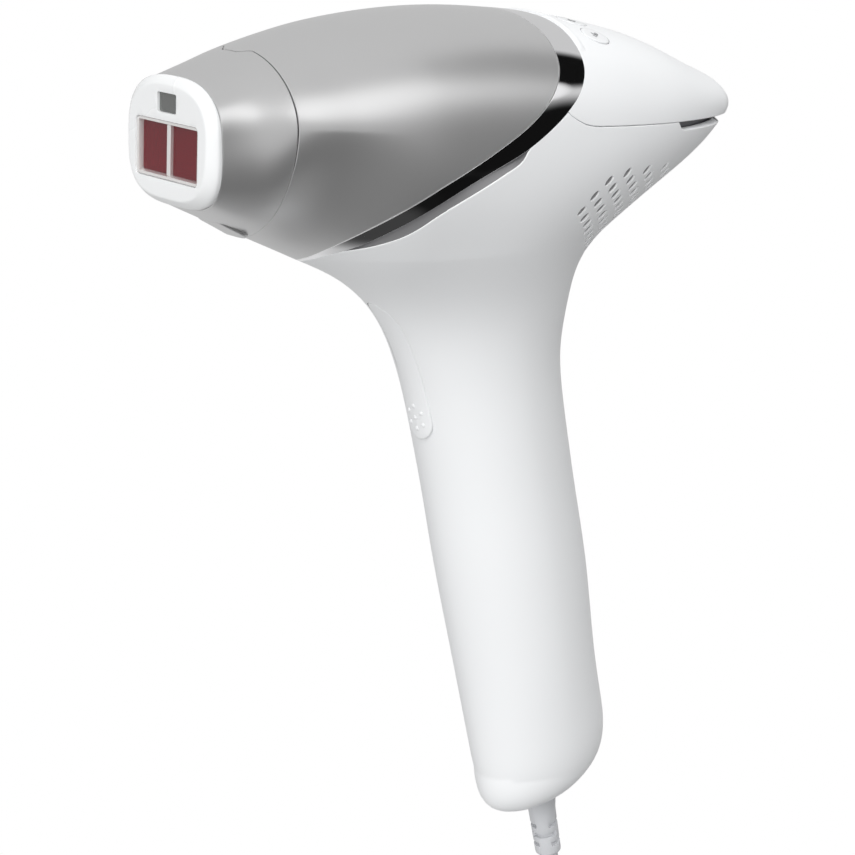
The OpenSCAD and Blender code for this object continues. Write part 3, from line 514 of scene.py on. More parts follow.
# ---- body and handle
CENTRE_Z = [-99, -75, -60, 0, 40, 55, 78, 92, 100]
CENTRE_Y = [14, 14, 11.5, 0, -7, -10, -14, -14, -16]
HEEL_CENTRE = np.array([0, 14, -75.0])
SLOT_FROM, SLOT_H = 35.5, 2.1


def body_limit(p):
    """Above 0 where a point of the skin is past the body's upper edge."""
    y, z = p[..., 1], p[..., 2]
    slot = SLOT_H * np.clip((y - SLOT_FROM) / 1.6, 0, 1) ** 0.5
    return np.maximum(recess_edge(z) - y, np.where(y > -6, z - panel_edge(y) + slot, -1e3))


def body_grid(cols, heel_rows, rows):
    """Profiles from the pole of the heel up to the edge under the ring and the panel."""
    def at(a, z):
        way = np.stack([np.sin(a), np.cos(a), np.zeros_like(a)], -1)
        return march(np.stack([0 * z, np.interp(z, CENTRE_Z, CENTRE_Y), z], -1), way, 95)

    def edge_z(a):
        level = np.arange(30, 98.1, 1.0)[:, None] + 0 * a[None]
        out = body_limit(at(a[None], level)) > 0
        i = np.where(out.any(0), out.argmax(0), len(level) - 1)
        high = level[i, np.arange(len(a))]
        return halved(high - 1, high, lambda z: body_limit(at(a, z)) > 0, 16)

    a = around(cols)
    fine = np.linspace(0.2, np.pi - 0.2, 700)
    corner = fine[np.argmax(edge_z(fine))]
    for c in (corner, 2 * np.pi - corner):
        a[np.argmin(np.abs(a - c))] = c
    top = edge_z(a)
    tilt = np.linspace(0, np.pi / 2, heel_rows, endpoint=False)[:, None] + 0 * a[None]
    way = np.stack([np.sin(tilt) * np.sin(a), np.sin(tilt) * np.cos(a), -np.cos(tilt)], -1)
    heel = march(HEEL_CENTRE, way, 60)
    share = np.linspace(0, 1, 200)[:, None]
    coarse = at(a[None], -75 + (top[None] + 75) * share)
    run = lengths(coarse)
    want = np.linspace(0, 1, rows)
    z = np.stack([np.interp(want * run[-1, j], run[:, j], coarse[:, j, 2]) for j in range(cols)], -1)
    return np.concatenate([heel, at(a[None], z)])


def recess_width(p):
    """How far below the ring's edge the body's edge runs, square to the edge."""
    z = p[..., 2]
    run = (ring_edge(z + 0.5) - ring_edge(z - 0.5))
    return np.clip((p[..., 1] - ring_edge(z)) / np.sqrt(1 + run ** 2) - 0.2, 0, 4) * (p[..., 1] < -10)


body = Cover(body_grid(300, 30, 190), True, thick=2.0, round_r=0.3, gap=0.08, first=False)
body = body.build("body_skin", WHITE, chamfer=recess_width)


# ---- cutting and small shapes
def cut_away(obj, cutters, bevel=0.0):
    """Takes the cutters away from an object, rounds the new edges and gives the new mesh."""
    for c in cutters:
        mod = obj.modifiers.new("cut", "BOOLEAN")
        mod.operation, mod.solver, mod.object = "DIFFERENCE", "MANIFOLD", c
    if bevel:
        mod = obj.modifiers.new("edges", "BEVEL")
        mod.width, mod.segments, mod.limit_method = bevel * MM, 3, "ANGLE"
        mod.angle_limit = radians(40)
    view = bpy.context.evaluated_depsgraph_get()
    obj.data = bpy.data.meshes.new_from_object(obj.evaluated_get(view))
    obj.modifiers.clear()
    for c in cutters:
        bpy.data.objects.remove(c)
    return obj.data


def apply_cut(obj, cutters):
    """Cuts the cutters out of a cover and gives its skin back the form's own normals."""
    old = obj.data
    tree = kdtree.KDTree(len(old.vertices))
    for v in old.vertices:
        tree.insert(v.co, v.index)
    tree.balance()
    known = np.zeros((len(old.vertices), 3))
    known[read(old.loops, "vertex_index", kind=int)] = read(old.corner_normals, "vector", 3)
    new = cut_away(obj, cutters)
    co = read(new.vertices, "co", 3)
    level = form(co / MM)
    grad = normal(co / MM)
    match = np.full(len(co), -1)
    for i, c in enumerate(co):
        _, j, dist = tree.find(c)
        if dist < 2e-7:
            match[i] = j
    out = np.empty((len(new.loops), 3))
    for poly in new.polygons:
        face = np.array(poly.normal)
        for loop in poly.loop_indices:
            v = new.loops[loop].vertex_index
            n = known[match[v]] if match[v] >= 0 else grad[v] if abs(level[v]) < 0.06 else face
            out[loop] = n if n @ face > 0.6 else face
    new.polygons.foreach_set("use_smooth", [True] * len(new.polygons))
    new.normals_split_custom_set(out.tolist())
    new.update()


def prism(outline, y0, y1):
    """A closed prism along y over an outline of (x, z) points."""
    n = len(outline)
    v = [(x, y, z) for y in (y0, y1) for x, z in outline]
    f = [list(range(n)), list(range(2 * n - 1, n - 1, -1))]
    f += [[i, i + n, (i + 1) % n + n, (i + 1) % n] for i in range(n)]
    return make("cutter", v, f, DARK)


def stadium(z0, z1, half0, half1, n=20):
    """An upright outline with round ends: half0 and half1 are its half widths at z0 and z1."""
    low = [(half0 * cos(t), z0 + half0 * sin(t)) for t in np.linspace(pi, 2 * pi, n)]
    high = [(half1 * cos(t), z1 + half1 * sin(t)) for t in np.linspace(0, pi, n)]
    steps = np.linspace(0, 1, max(int((z1 - z0) / 1.5), 3))[1:-1]
    right = [(half0 + (half1 - half0) * t, z0 + (z1 - z0) * t) for t in steps]
    return low + right + high + [(-x, z) for x, z in right[::-1]]


def round_rect(w, h, r, z=0.0, n=7):
    pts = []
    for cx, cz, a in ((1, 1, 0), (-1, 1, 90), (-1, -1, 180), (1, -1, 270)):
        for t in np.radians(np.linspace(a, a + 90, n)):
            pts.append((cx * (w / 2 - r) + r * cos(t), z + cz * (h / 2 - r) + r * sin(t)))
    return pts


def lathe(name, profile, mat, segments=48, sharp=40):
    """A turned shape round z from (radius, z) points."""
    a = around(segments)
    p = np.array([[(r * cos(t), r * sin(t), z) for t in a] for r, z in profile])
    return piped(name, p, mat, sharp=sharp)


def skin_patch(outline, spine, inside, way, rows=22):
    """Points on the skin inside an outline, as rings round its spine, which is an upright line with
    the ends (u, v0) and (u, v1). inside is the coordinate along way's axis where the search starts."""
    s = np.linspace(0, 1, rows)[:, None, None]
    o = np.array(outline)[None]
    c = np.stack([0 * o[..., 0] + spine[0], np.clip(o[..., 1], spine[1], spine[2])], -1)
    flat = c + (o - c) * s
    axis = int(np.argmax(np.abs(way)))
    p = np.zeros(flat.shape[:2] + (3,))
    free = [k for k in range(3) if k != axis]
    p[..., free[0]], p[..., free[1]], p[..., axis] = flat[..., 0], flat[..., 1], inside
    return march(p, np.array(way, float), 60)


# ---- openings of the body
VENT_PITCH = 3.05
VENTS = ((73.0, -34.3), (80.0, -34.4), (87.5, -34.0), (95.2, -31.4), (103.0, -27.2), (111.4, -22.6))


def vent_points():
    """Places of the air slots: rows that run round the back of the neck in slanted planes."""
    out = []
    for s, w0 in VENTS:
        a = np.linspace(0, np.pi, 361)
        way = np.stack([np.cos(a), np.sin(a) * sqrt(0.5), -np.sin(a) * sqrt(0.5)], -1)
        p = march(np.array([0, s / 2 + w0, s / 2 - w0]), way, 70)
        run = lengths(p)
        at = np.linspace(0, run[-1], int(round(run[-1] / VENT_PITCH)) + 1)
        out += [np.array([np.interp(t, run, p[:, c]) for c in range(3)]) for t in at]
    return np.array(out)


def scattered(name, shape, places, mat):
    """Copies of a small mesh, a closed grid of points, each at a place with its own three axes."""
    v, f, _ = tidy_faces(shape.reshape(-1, 3), quads(*shape.shape[:2], True))
    verts = np.concatenate([p + v @ np.stack(axes) for p, *axes in places])
    return make(name, verts, [[i + k * len(v) for i in g] for k in range(len(places)) for g in f], mat)


def slot_cutters(points, half_long=1.8, half_wide=0.92, half_deep=1.25):
    """One mesh of small ellipsoids, set square to the skin and long along the slope."""
    lat, lon = np.meshgrid(np.linspace(0, np.pi, 9), around(12), indexing="ij")
    ball = np.stack([half_wide * np.sin(lat) * np.cos(lon), half_long * np.sin(lat) * np.sin(lon),
                     half_deep * np.cos(lat)], -1)
    n = normal(points)
    up = np.array([0, 1, 1]) / sqrt(2)
    along = unit(up - n * (n @ up)[:, None])
    return scattered("vent_cutters", ball, list(zip(points, np.cross(along, n), along, n)), DARK)


BUTTON_LOW, BUTTON_HIGH, BUTTON_HALF = 15.3, 43, 4.7
REAR = (-76, 36, 8.6, 9)  # the rear cover's heights and half widths
LEAN = radians(10.8)
PLUG_Y, RELIEF_END = -1.9, -118.5
SCREW_HEIGHTS, SCREW_HOLE_R = (-60, 20), 2.95


def leaning(p):
    """From the frame that leans with the handle to the row frame."""
    p = np.asarray(p, float)
    y, z = p[..., 1], p[..., 2]
    return np.stack([p[..., 0], y * cos(LEAN) - z * sin(LEAN), y * sin(LEAN) + z * cos(LEAN)], -1)


def moved(obj, how):
    """The object with its points, in mm, put through how."""
    obj.data.vertices.foreach_set("co", (how(read(obj.data.vertices, "co", 3) / MM) * MM).reshape(-1))
    obj.data.update()
    return obj


def lean_object(obj, dy=0.0):
    return moved(obj, lambda p: leaning(p + [0, dy, 0]))


plug_hole = lean_object(lathe("cutter", [(0, -120), (5.3, -120), (5.3, -90), (0, -90)], DARK, 40), PLUG_Y)
apply_cut(body, [slot_cutters(vent_points()),
                 prism(stadium(BUTTON_LOW, BUTTON_HIGH, BUTTON_HALF + 0.38, BUTTON_HALF + 0.02), -60, -12),
                 prism(stadium(*REAR[:2], REAR[2] + 0.15, REAR[3] + 0.15), 8, 60), plug_hole])
# painted shade: the slope of the recess under the ring gets a dark grey material
paint(body, RECESS_PAINTED_SHADE, lambda p, n: (p[:, 1] < -14) & (p[:, 2] > 60) & (form(p) < -0.2))
# painted shade: the deep faces of the vent dimples get a darker grey
paint(body, VENT_PAINTED_SHADE, lambda p, n: (p[:, 1] > 0) & (p[:, 2] > 50) & (form(p) < -0.35))
# painted shade: the walls of the flash button's opening are painted dark
paint(body, DARK, lambda p, n: (p[:, 1] < -12) & (p[:, 2] < 55) & (np.abs(p[:, 0]) < 6) & (form(p) < -0.25), -0.5)
dress(body, "device", "body_shell")


# ---- flash button
def button_lift(z):
    """How far the button's cap stands proud of the handle: more towards its lower end."""
    return 0.06 + 0.75 * np.clip((30 - z) / 18, 0, 1) ** 1.5


outline = stadium(BUTTON_LOW, BUTTON_HIGH, BUTTON_HALF, BUTTON_HALF - 0.35, 28)
button_points = skin_patch(outline, (0, BUTTON_LOW, BUTTON_HIGH), -14, (0, -1, 0), 26)
rise = np.linspace(0, 1, 26)[:, None]  # 0 on the button's spine, 1 at its edge
button = Cover(button_points, True, thick=2.3, round_r=0.5, gap=0.0, first=False).build(
    "flash_button_cap", WHITE, lift=button_lift(button_points[..., 2]) + 0.12 * (1 - rise ** 2))
dress(button, "flash_button", "flash_button")
DOT_R, DOT_H = 0.68, 0.5
dots = []
for x, z in [(0, 19.3), (-2.4, 17.7), (2.4, 17.7), (0, 16.2), (-2.4, 14.6), (2.4, 14.6), (0, 13.3)]:
    p = march(np.array([[x, -14.0, z]]), np.array([0, -1.0, 0]), 40)
    n = normal(p)[0]
    u = unit(np.cross(n, [0, 0.3, 1.0]))
    dots.append((p[0] + n * (button_lift(z) + 0.1), u, np.cross(n, u), n))
lat, lon = np.meshgrid(np.linspace(0, np.pi / 2, 6), around(16), indexing="ij")
dome = np.stack([DOT_R * np.cos(lat) * np.cos(lon), DOT_R * np.cos(lat) * np.sin(lon), DOT_H * np.sin(lat) - 0.15], -1)
dress(scattered("button_dots", dome, dots, WHITE), "flash_button")

# ---- rear cover
rear = Cover(skin_patch(stadium(*REAR, 24), (0, *REAR[:2]), 5, (0, 1, 0), 30), True, thick=2, round_r=0.3, gap=0.02,
             first=False).build("rear_cover_skin", WHITE)
apply_cut(rear, [lean_object(prism([(SCREW_HOLE_R * cos(a), z + SCREW_HOLE_R * sin(a)) for a in around(40)],
                                   12, 40)) for z in SCREW_HEIGHTS])
dress(rear, "device", "rear_cover")

# ---- attachment
sleeve = Cover(loops_between(lambda p: p[..., 1] - RIM_Y - 0.05, past_sleeve(-0.2), 40, 360), True, thick=1.8,
               round_r=0.3, gap=0.0).build("attachment_sleeve_skin", SILVER)
dress(sleeve, "attachment", "attachment_sleeve")
TAB_W, TAB_LONG, TAB_Y = 10, 8.2, -82.3
tab_outline = round_rect(TAB_W, TAB_LONG, 1.6, TAB_Y)
tab_points = skin_patch(tab_outline, (0, TAB_Y - 1.2, TAB_Y + 1.3), 90, (0, 0, -1), 14)
tab = Cover(tab_points, True, thick=1.6, round_r=0.6, gap=0, first=False).build(
    "attachment_tab", SILVER, lift=0.1 + 0.85 * np.clip((tab_points[..., 1] - TAB_Y + TAB_LONG / 2) / 7, 0, 1) ** 0.8)
dress(tab, "attachment")

FACE_Y, FACE_TILT, WINDOW_Z, SENSOR_Z = -97.2, radians(2.65), 91.3, 102.3
WINDOW_W, WINDOW_H, SENSOR_W, SENSOR_H = 27.4, 13.6, 8.4, 4.6
# The rim's outline at its face and at its back: half width, top and bottom
RIM_FACE, RIM_BACK, RIM_MIDDLE, RIM_SIDE_Y, RIM_BACK_Y = (16.9, 106.2, 80.3), (19.45, 108.4, 78.1), 93, -94.9, -93.9


def rim_point(a, w, top, bottom, mid=95.0):
    """Places round an outline that is rounder at its top than at its bottom."""
    c, s = np.cos(a), np.sin(a)
    n = np.where(s > 0, 2.6, 3.3)
    reach = (np.abs(c) ** n + np.abs(s) ** n) ** (-1 / n)
    return w * c * reach, mid + np.where(s > 0, top - mid, mid - bottom) * s * reach


def face_depth(z):
    return FACE_Y + (z - WINDOW_Z) * tan(FACE_TILT)


def rim_grid(cols=160):
    a = around(cols)
    fx, fz = rim_point(a, *RIM_FACE)
    bx, bz = rim_point(a, *RIM_BACK)
    rows = []
    for s in (0, 0.3, 0.6, 0.85, 0.97, 1.0):
        z = RIM_MIDDLE + (fz - RIM_MIDDLE) * s
        rows.append((fx * s, face_depth(z), z))
    front = face_depth(fz)
    for out, deep in ((0.05, 0.01), (0.12, 0.04), (0.2, 0.09), (0.3, 0.17), (0.5, 0.34), (0.7, 0.52), (0.82, 0.65),
                      (0.92, 0.79), (0.98, 0.91), (1, 1)):
        rows.append((fx + (bx - fx) * out, front + (RIM_SIDE_Y - front) * deep, fz + (bz - fz) * out))
    for y, grow in ((-94.5, 0.0), (-94.15, -0.05), (-93.95, -0.25), (RIM_BACK_Y, -0.6)):
        rows.append((bx * (1 + grow / 19.4), 0 * bx + y, RIM_MIDDLE + (bz - RIM_MIDDLE) * (1 + grow / 15)))
    for s in (0.85, 0.5, 0):
        rows.append((bx * s, 0 * bx + RIM_BACK_Y, RIM_MIDDLE + (bz - RIM_MIDDLE) * s))
    return np.array([np.stack(row, -1) for row in rows])


def tilted(obj):
    """Tilts an object's points with the window's face."""
    return moved(obj, lambda p: p + np.outer((p[:, 2] - WINDOW_Z) * tan(FACE_TILT), [0, 1, 0]))


def solid_cut(obj, cutters, sharp, bevel):
    cut_away(obj, cutters, bevel)
    obj.data.polygons.foreach_set("use_smooth", [True] * len(obj.data.polygons))
    obj.data.set_sharp_from_angle(angle=radians(sharp))


rim = piped("attachment_rim_face", rim_grid(), RIM_WHITE)
solid_cut(rim, [tilted(prism(round_rect(WINDOW_W + 0.2, WINDOW_H + 0.2, 1.3, WINDOW_Z), -110, -80)),
                tilted(prism(round_rect(SENSOR_W, SENSOR_H, 0.5, SENSOR_Z), -110, -80))], 30, 0.25)
dress(rim, "attachment", "attachment_rim")


def stacked(name, w, h, r, rings, mat, at, open_ring=False, sharp=35):
    """A moulding with a rounded rectangular outline: rings are (how far inside the outline, depth)
    pairs. An open ring's section closes on itself, a solid is capped at both ends. at(u, v, depth)
    gives the place of a point."""
    rows = [[at(u, v, d) for u, v in round_rect(w - 2 * i, h - 2 * i, max(r - i, 0.15))] for i, d in rings]
    if open_ring:
        return piped(name, np.array(rows + rows[:1], float), mat, sharp)
    p = np.array(rows, float)
    v, f, _ = tidy_faces(p.reshape(-1, 3), quads(*p.shape[:2], True))
    near, far = [[int(np.argmin(((v - q) ** 2).sum(-1))) for q in end] for end in (p[0], p[-1])]
    return make(name, v, f + [near, far[::-1]], mat, sharp=sharp)


def framed(name, w, h, r, z, rings, mat, open_ring=False):
    """A moulding in the window's face, its rings' depths along y."""
    return tilted(stacked(name, w, h, r, rings, mat, lambda u, v, d: (u, d, z + v), open_ring))


bar_rings = [(0, -95.6), (0, -96.4), (0.2, -96.6)]
window_frame = framed("window_frame_ring", WINDOW_W, WINDOW_H, 1.2, WINDOW_Z,
                      [(0, -93), (0, -96.75), (0.12, -96.9), (0.6, -96.9), (0.75, -96.8), (1.0, -95.9), (1.0, -93)],
                      WINDOW_METAL, True)
dress(window_frame, "attachment", "window_frame")
glass = framed("filter_glass_pane", WINDOW_W - 1.9, WINDOW_H - 1.9, 0.6, WINDOW_Z,
               [(0, -94.6), (0, -95.55), (0.12, -95.65)], RED_GLASS)
dress(glass, "attachment", "filter_glass")
bar = framed("window_bar_strip", 1.5, WINDOW_H - 1.6, 0.25, WINDOW_Z, bar_rings, WINDOW_METAL)
dress(bar, "attachment", "window_bar")
sensor = framed("sensor_window_pane", SENSOR_W, SENSOR_H, 0.5, SENSOR_Z,
                [(0, -95.6), (0, -96.4), (0.15, -96.55)], SENSOR)
dress(sensor, "attachment", "sensor_window")

# ---- keys on the control panel
KEY_Y, KEY_TILT, KEY_R = 16.5, radians(12), 3.8
# Each key's name, place across, height and sideways lean in degrees
KEYS = [("sensor_key", 18.4, 111.75, 24), ("plus_key", 9.2, 114.55, 9.6), ("power_key", 0, 115.25, 0),
        ("minus_key", -9.2, 114.55, -9.6), ("mode_key", -18.4, 111.75, -24)]


def placed(obj, turn, at):
    return moved(obj, lambda p: p @ turn.T + at)


def joined(name, objs):
    """One object out of several."""
    bm = bmesh.new()
    mats = []
    for o in objs:
        base = len(mats)
        mats += list(o.data.materials)
        start = len(bm.faces)
        bm.from_mesh(o.data)
        bm.faces.ensure_lookup_table()
        for f in bm.faces[start:]:
            f.material_index += base
    mesh = bpy.data.meshes.new(name)
    bm.to_mesh(mesh)
    bm.free()
    for m in mats:
        mesh.materials.append(m)
    mesh.set_sharp_from_angle(angle=radians(40))
    for o in objs:
        bpy.data.objects.remove(o)
    return linked(name, mesh)


def bead(name, path, r, mat, closed=False, sides=8):
    """A round bead along points in the plane z=0 of a key's frame."""
    p = np.array([(x, y, 0.06) for x, y in path], float)
    t = unit(np.roll(p, -1, 0) - np.roll(p, 1, 0)) if closed else unit(np.gradient(p, axis=0))
    side = np.cross(t, [0, 0, 1.0])
    a = around(sides)
    rings = p[:, None] + r * (np.cos(a)[None, :, None] * side[:, None] + np.sin(a)[None, :, None] * [0, 0, 0.45])
    if closed:
        return piped(name, np.concatenate([rings, rings[:1]]), mat)
    ends = [list(range(sides)), [len(rings) * sides - 1 - i for i in range(sides)]]
    return make(name, rings.reshape(-1, 3), quads(len(rings), sides, True).tolist() + ends, mat)


def arc(r, a0, a1, cx=0.0, cy=0.0, n=24):
    return [(cx + r * cos(t), cy + r * sin(t)) for t in np.radians(np.linspace(a0, a1, n))]


LEVEL_STROKE = ([(-1.3, 0), (0, 0), (1.3, 0)], False)
# The beads of each key's sign: their points, and whether each closes on itself
SIGNS = {
    "sensor_key": [([(-1.1, -0.7), (-0.4, 0.0), (0.3, 0.7)], False), ([(0.1, -0.9), (0.9, -0.1)], False),
                   (arc(0.45, 0, 345, -0.9, 0.9, 12), True)],
    "plus_key": [LEVEL_STROKE, ([(0, -1.3), (0, 0), (0, 1.3)], False)],
    "power_key": [(arc(1.25, 120, 420), False), ([(0, 0.2), (0, 1.0), (0, 1.7)], False)],
    "minus_key": [LEVEL_STROKE],
    "mode_key": [(arc(1.25, 0, 345), True), (arc(0.35, 0, 330, 0, 0, 10), True)],
}
holes = []
for name, x, z, side in KEYS:
    turn = np.array(Matrix.Rotation(-KEY_TILT, 3, "X") @ Matrix.Rotation(radians(side), 3, "Y"))
    at = np.array([x, KEY_Y, z])
    holes.append(placed(lathe("cutter", [(0, -8), (KEY_R + 0.25, -8), (KEY_R + 0.25, 6), (0, 6)], DARK, 48), turn, at))
    cap = lathe(name + "_body", [(0, -3.5), (4.2, -3.5), (4.2, -2.6), (KEY_R, -2.6), (KEY_R, -0.12), (3.72, 0.0),
                                 (3.55, 0.06), (2.6, 0.06), (1.3, 0.03), (0, 0.02)], KEY_WHITE, 56)
    marks = [bead("mark", path, 0.13, KEY_RING, closed) for path, closed in SIGNS[name]]
    key = placed(joined(name + "_cap", [cap, *marks]), turn, at)
    dress(key, name, name)
apply_cut(top_cover, holes)
dress(top_cover, "device", "top_cover")

# ---- dark seat of the parting lines
def liner(name, points, mat):
    p = points.reshape(-1, 3)
    n = normal(p)
    rows, cols = points.shape[:2]
    v = np.concatenate([p, p - 0.8 * n])
    f = [quads(rows, cols), quads(rows, cols, start=len(p))[:, ::-1]]
    idx = np.arange(rows * cols).reshape(rows, cols)
    ring = round_edge(idx)
    nxt = np.roll(ring, -1)
    f.append(np.stack([ring, ring + len(p), nxt + len(p), nxt], -1))
    v, f, _ = tidy_faces(v, np.concatenate(f))
    return make(name, v, f, mat, sharp=50)


tail_a = np.linspace(-0.5 * np.pi, 0.5 * np.pi, 160)
rows = []
for up in np.linspace(-3.4, -0.1, 8):
    yy = TAIL_Y - 8 - 34 * np.abs(tail_a / (0.5 * np.pi)) ** 1.5
    o = np.stack([0 * yy, yy, panel_edge(yy) + up], -1)
    way = np.stack([np.sin(tail_a), np.cos(tail_a), 0 * yy], -1)
    q = march(o, way, 90, -1.75)
    q[:, 2] = panel_edge(q[:, 1]) + up
    rows.append(onto(q, -1.75, 2))
dress(liner("tail_liner", np.array(rows), DARK), "device", slot="dark_frame")

# ---- strain relief and cord
SEG = 64
relief = lathe("supply_plug_relief",
               [(0, -75.5), (2.6, -75.5), (3.2, -76.2), (3.2, -87.5), (5, -87.5), (5, -98.6), (4.9, -98.9),
                (4.6, -99.1), (4.52, -99.6), (4.5, -101.2), (4.42, -101.5), (4.2, -102.2), (3.85, -104.6),
                (3.78, -105.4), (3.72, -109), (3.62, -117.7), (3.55, -118.2), (3.3, -118.5), (2.55, -118.5),
                (2.5, -118.2), (0, -118.2)], CORD_GREY, SEG, 35)
cutters = []
for k in range(3):
    for side in ((45, 225) if k % 2 == 0 else (135, 315)):
        low = -109.6 - 3 * k
        sweep = np.radians(np.linspace(side - 62, side + 62, 19))
        p = np.array([[(r * cos(t), r * sin(t), z) for t in sweep]
                      for r, z in ((2.75, low), (2.75, low + 1.4), (6, low + 1.4), (6, low))])
        f = [[i % 76 for i in g] for g in quads(5, 19).tolist()] + [[0, 19, 38, 57], [18, 75, 56, 37]]
        cutters.append(make("cutter", p.reshape(-1, 3), f, DARK))
solid_cut(relief, cutters, 35, 0.12)
lean_object(relief, PLUG_Y)
dress(relief, "supply_cord", "supply_plug")

CORD_D, HANK_Y, HANK_TOP, HANK_LOW, BEND, PITCH = 5.0, 22.5, -152.0, -272.2, 15.0, 5.1
LAYER = [HANK_Y + (i - 1.5) * PITCH for i in range(4)]
INNER, OUTER = BEND, BEND + PITCH
UP, DOWN = HANK_TOP - OUTER - CORD_D / 2, HANK_LOW + OUTER + CORD_D / 2
SHIFT_TOP, SHIFT_END = UP - 6, -204


def smooth_path(points, step=1.6):
    """A Catmull-Rom line through the points, in even steps."""
    p = np.array([list(q) for q in points], float)
    p = np.concatenate([[2 * p[0] - p[1]], p, [2 * p[-1] - p[-2]]])
    out = []
    for a, b, c, d in zip(p[:-3], p[1:-2], p[2:-1], p[3:]):
        t = np.linspace(0, 1, 24, endpoint=False)[:, None]
        out.append(0.5 * (2 * b + (c - a) * t + (2 * a - 5 * b + 4 * c - d) * t ** 2
                          + (3 * b - a - 3 * c + d) * t ** 3))
    q = np.concatenate(out + [p[-2:-1]])
    run = lengths(q)
    at = np.linspace(0, run[-1], int(run[-1] / step) + 1)
    return np.stack([np.interp(at, run, q[:, k]) for k in range(3)], -1), run[-1]


def turns(r, layer):
    """Round the bottom of the hank from the left run to the right run, up, and over the top."""
    y = LAYER[layer]
    half = [(cos(a), sin(a)) for a in np.linspace(0, pi, 11)]
    return ([(-r * c, y, DOWN - r * s) for c, s in half] + [(r, y, (UP + 3 * DOWN) / 4), (r, y, (3 * UP + DOWN) / 4)]
            + [(r * c, y, UP + r * s) for c, s in half])


def change(r0, layer0, r1, layer1):
    """Down the left run, moving over to another layer or another radius."""
    s = np.linspace(0, 1, 6)
    e = s * s * (3 - 2 * s)
    y0, y1 = LAYER[layer0], LAYER[layer1]
    return ([(-(r0 + (r1 - r0) * k), y0 + (y1 - y0) * k, SHIFT_TOP + (SHIFT_END - SHIFT_TOP) * t)
             for t, k in zip(s, e)] + [(-r1, y1, -222), (-r1, y1, -236)])


tip = leaning([0, PLUG_Y, RELIEF_END + 0.3])
path = [tip, tip + [0, 0.9, -4.9], (0, 21.7, -127), (0, 20.9, -132.5), (0, 18.2, -139), (-0.3, 15.6, -145.5),
        (-1.4, LAYER[0], -153), (-4.5, LAYER[0], -164), (-9, LAYER[0], -175), (-13, LAYER[0], -186),
        (-14.8, LAYER[0] + 0.5, -197), (-INNER, LAYER[0] + 3.2, -210), (-INNER, LAYER[1], -224),
        (-INNER, LAYER[1], -236)]
for k in (1, 2):
    path += turns(INNER, k) + change(INNER, k, INNER, k + 1)
path += turns(INNER, 3) + change(INNER, 3, OUTER, 3)
for k in (3, 2, 1):
    path += turns(OUTER, k) + change(OUTER, k, OUTER, k - 1)
path += [(-19, LAYER[0], -248), (-12.5, LAYER[0], -259.5), (-5, LAYER[0] + 0.4, -268.5), (-1.2, 17.4, -275.8),
         (0, 20.9, -281), (0, 22.4, -286), (0, HANK_Y, -291)]
cord_line, cord_length = smooth_path(path)


def tube(name, points, r, mat):
    data = bpy.data.curves.new(name, "CURVE")
    data.dimensions, data.bevel_depth, data.bevel_resolution, data.use_fill_caps = "3D", r * MM, 5, True
    spline = data.splines.new("POLY")
    spline.points.add(len(points) - 1)
    spline.points.foreach_set("co", np.c_[points * MM, np.ones(len(points))].reshape(-1))
    spline.use_smooth = True
    data.materials.append(mat)
    return linked(name, data)


cord = tube("supply_cord_run", cord_line, CORD_D / 2, CORD_GREY)
dress(cord, "supply_cord", "cord_lead", "cord_hank", "cord_tail")


def upright(y0):
    return lambda u, v, d: (u, y0 + v, d)


tie = stacked("cord_tie_band", 47.2, 22.3, 7.5,
              [(0, -217.2), (0, -207), (0.15, -206.4), (0.6, -206.2), (1.0, -206.4), (1.1, -207), (1.1, -217.2),
               (1.0, -217.8), (0.6, -218), (0.15, -217.8)], TIE_DARK, upright(HANK_Y), True)
dress(tie, "supply_cord", "cord_tie")
ends = [(1.5 * (1 - sin(t)), 1.5 * (1 - cos(t))) for t in np.radians(np.linspace(0, 90, 6))]
adapter_rings = ([(i + 1.2, -362.2 + d) for i, d in ends] + [(1.2, -359.4), (0.9, -359.1), (0, -358.6)]
                 + [(0, -309.6), (0.9, -309.2), (1.2, -308.9)] + [(i + 1.2, -306.2 - d) for i, d in ends[::-1]])
adapter = stacked("adapter_housing", 42, 30, 6, adapter_rings, ADAPTER_WHITE, upright(HANK_Y))
dress(adapter, "supply_cord", "adapter_body")
bush_profile = [(0, -307), (5, -307), (5, -303.4), (4.7, -303), (4.3, -302.6)]
for k in range(4):
    z0 = -302 + 4.2 * k
    r0, r1 = 4.3 - 0.22 * k, 4.1 - 0.22 * k
    bush_profile += [(r0, z0), (r1, z0 + 2.5), (r1 - 0.55, z0 + 2.8), (r1 - 0.6, z0 + 3.9), (r1 - 0.1, z0 + 4.1)]
bush_profile += [(3.4, -285), (3.2, -284.4), (2.6, -284.2), (0, -284.2)]
bush = placed(lathe("adapter_bush_relief", bush_profile, CORD_GREY, 40, 30), np.eye(3), [0, HANK_Y, 0])
dress(bush, "supply_cord", "adapter_bush")
pin = [(0, -381.2), (1.2, -381.2), (1.7, -380.9), (1.95, -380.2), (2, -379.4), (2, -361.5), (0, -361.5)]
pins = joined("adapter_pin_pair", [placed(lathe("pin", pin, PIN_METAL, 40), np.eye(3), [x, HANK_Y, 0])
                                   for x in (-9.3, 9.3)])
dress(pins, "supply_cord", "adapter_pins")

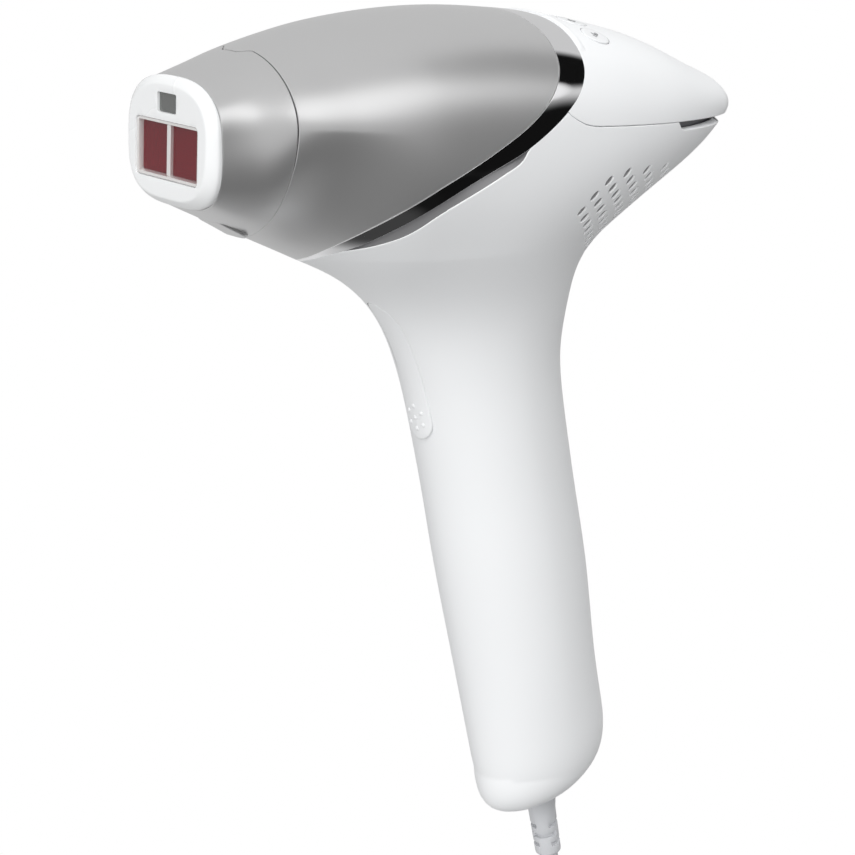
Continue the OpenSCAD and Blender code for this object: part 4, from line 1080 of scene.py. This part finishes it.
# ---- materials of the inner parts
INNER_LOOKS = {
    DARK_FRAME: ("nose_frame", "head_chassis", "handle_frame", "fan_housing", "button_bracket", "button_switch",
                 "device_socket"),
    FAN_GREY: ("fan_rotor",), CERAMIC: ("lamp_holders",), HEAT_METAL: ("heat_sink",),
    BOARD_GREEN: ("main_board", "key_board", "skin_sensor"), COPPER: ("trigger_transformer",),
    SLEEVE_BLUE: ("energy_capacitor",), STEEL: ("fan_shaft", "button_pin", "button_spring", "rear_screws"),
    MIRROR: ("reflector",), CLEAR: ("lamp_glass", "flash_tube"),
}
for mat, names in INNER_LOOKS.items():
    for name in names:
        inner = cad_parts[name]
        if not inner.data.materials:
            inner.data.materials.append(mat)
        for slot in inner.material_slots:
            slot.material = mat

# ---- light
world = bpy.data.worlds.new("studio")
bpy.context.scene.world = world
world.use_nodes = True
sky = world.node_tree
looking = node(sky, "TexCoord").outputs["Generated"]


def toward(az, el):
    """The direction at an azimuth from -y towards +x and an elevation, in degrees."""
    a, e = radians(az), radians(el)
    return sin(a) * cos(e), -cos(a) * cos(e), sin(e)


def panels(base, parts):
    """A surrounding of one grey with round, soft-edged panels in it, each laid over the ones before:
    (azimuth, elevation, half width, soft edge, grey)."""
    before = (base, base, base, 1)
    for az, el, half, soft, grey in parts:
        dot = node(sky, "VectorMath", {0: looking, 1: toward(az, el)}, operation="DOT_PRODUCT")
        edge = node(sky, "MapRange", {"Value": dot.outputs["Value"],
                                      "From Min": cos(radians(min(half + soft, 179))),
                                      "From Max": cos(radians(max(half - soft, 0)))},
                    interpolation_type="SMOOTHSTEP")
        before = node(sky, "Mix", {"Factor": edge.outputs["Result"], "A": before, "B": (grey, grey, grey, 1)},
                      data_type="RGBA").outputs["Result"]
    return before


soft_light = panels(0.32, [(120, -32, 48, 20, 0.08), (180, 12, 34, 16, 0.55), (-130, 25, 36, 16, 1.3),
                           (25, -12, 38, 20, 1.3), (90, 72, 28, 12, 1.5), (105, 38, 20, 10, 1.5),
                           (45, 42, 30, 12, 2.9)])
mirrored = panels(0.62, [(-60, -80, 60, 15, 0.75), (150, -70, 25, 10, 0.25), (128, -4, 22, 7, 0.006),
                         (108, -36, 24, 8, 0.006), (84, -52, 20, 8, 0.008), (60, -70, 20, 8, 0.05),
                         (157, 40, 17, 4, 0.006), (92, 27, 13, 5, 1.9), (107, 41, 12, 5, 1.8),
                         (122, 37, 9, 4, 1.4), (134, 29, 7, 3, 0.9)])
rays = node(sky, "LightPath").outputs
gloss = node(sky, "Mix", {"Factor": rays["Is Glossy Ray"], "A": soft_light, "B": mirrored}, data_type="RGBA")
seen = node(sky, "Mix", {"Factor": rays["Is Camera Ray"], "A": gloss.outputs["Result"], "B": (1, 1, 1, 1)},
            data_type="RGBA")
feed(sky, sky.nodes["Background"], {"Color": seen.outputs["Result"]})

# ---- floor
floor_mat = bpy.data.materials.new("floor")
floor_mat.use_nodes = True
ground = floor_mat.node_tree
blend = node(ground, "MixShader", {0: node(ground, "LightPath").outputs["Is Camera Ray"],
                                   1: node(ground, "BsdfTransparent").outputs[0],
                                   2: node(ground, "Emission", {"Color": (1, 1, 1, 1)}).outputs[0]})
feed(ground, ground.nodes["Material Output"], {"Surface": blend.outputs[0]})
FLOOR_HALF, FLOOR_Z = 14000, -381.5
floor = make("floor", [(x * FLOOR_HALF, y * FLOOR_HALF, FLOOR_Z) for x, y in ((-1, -1), (1, -1), (1, 1), (-1, 1))],
             [[0, 1, 2, 3]], floor_mat)
floor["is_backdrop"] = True

low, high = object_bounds()
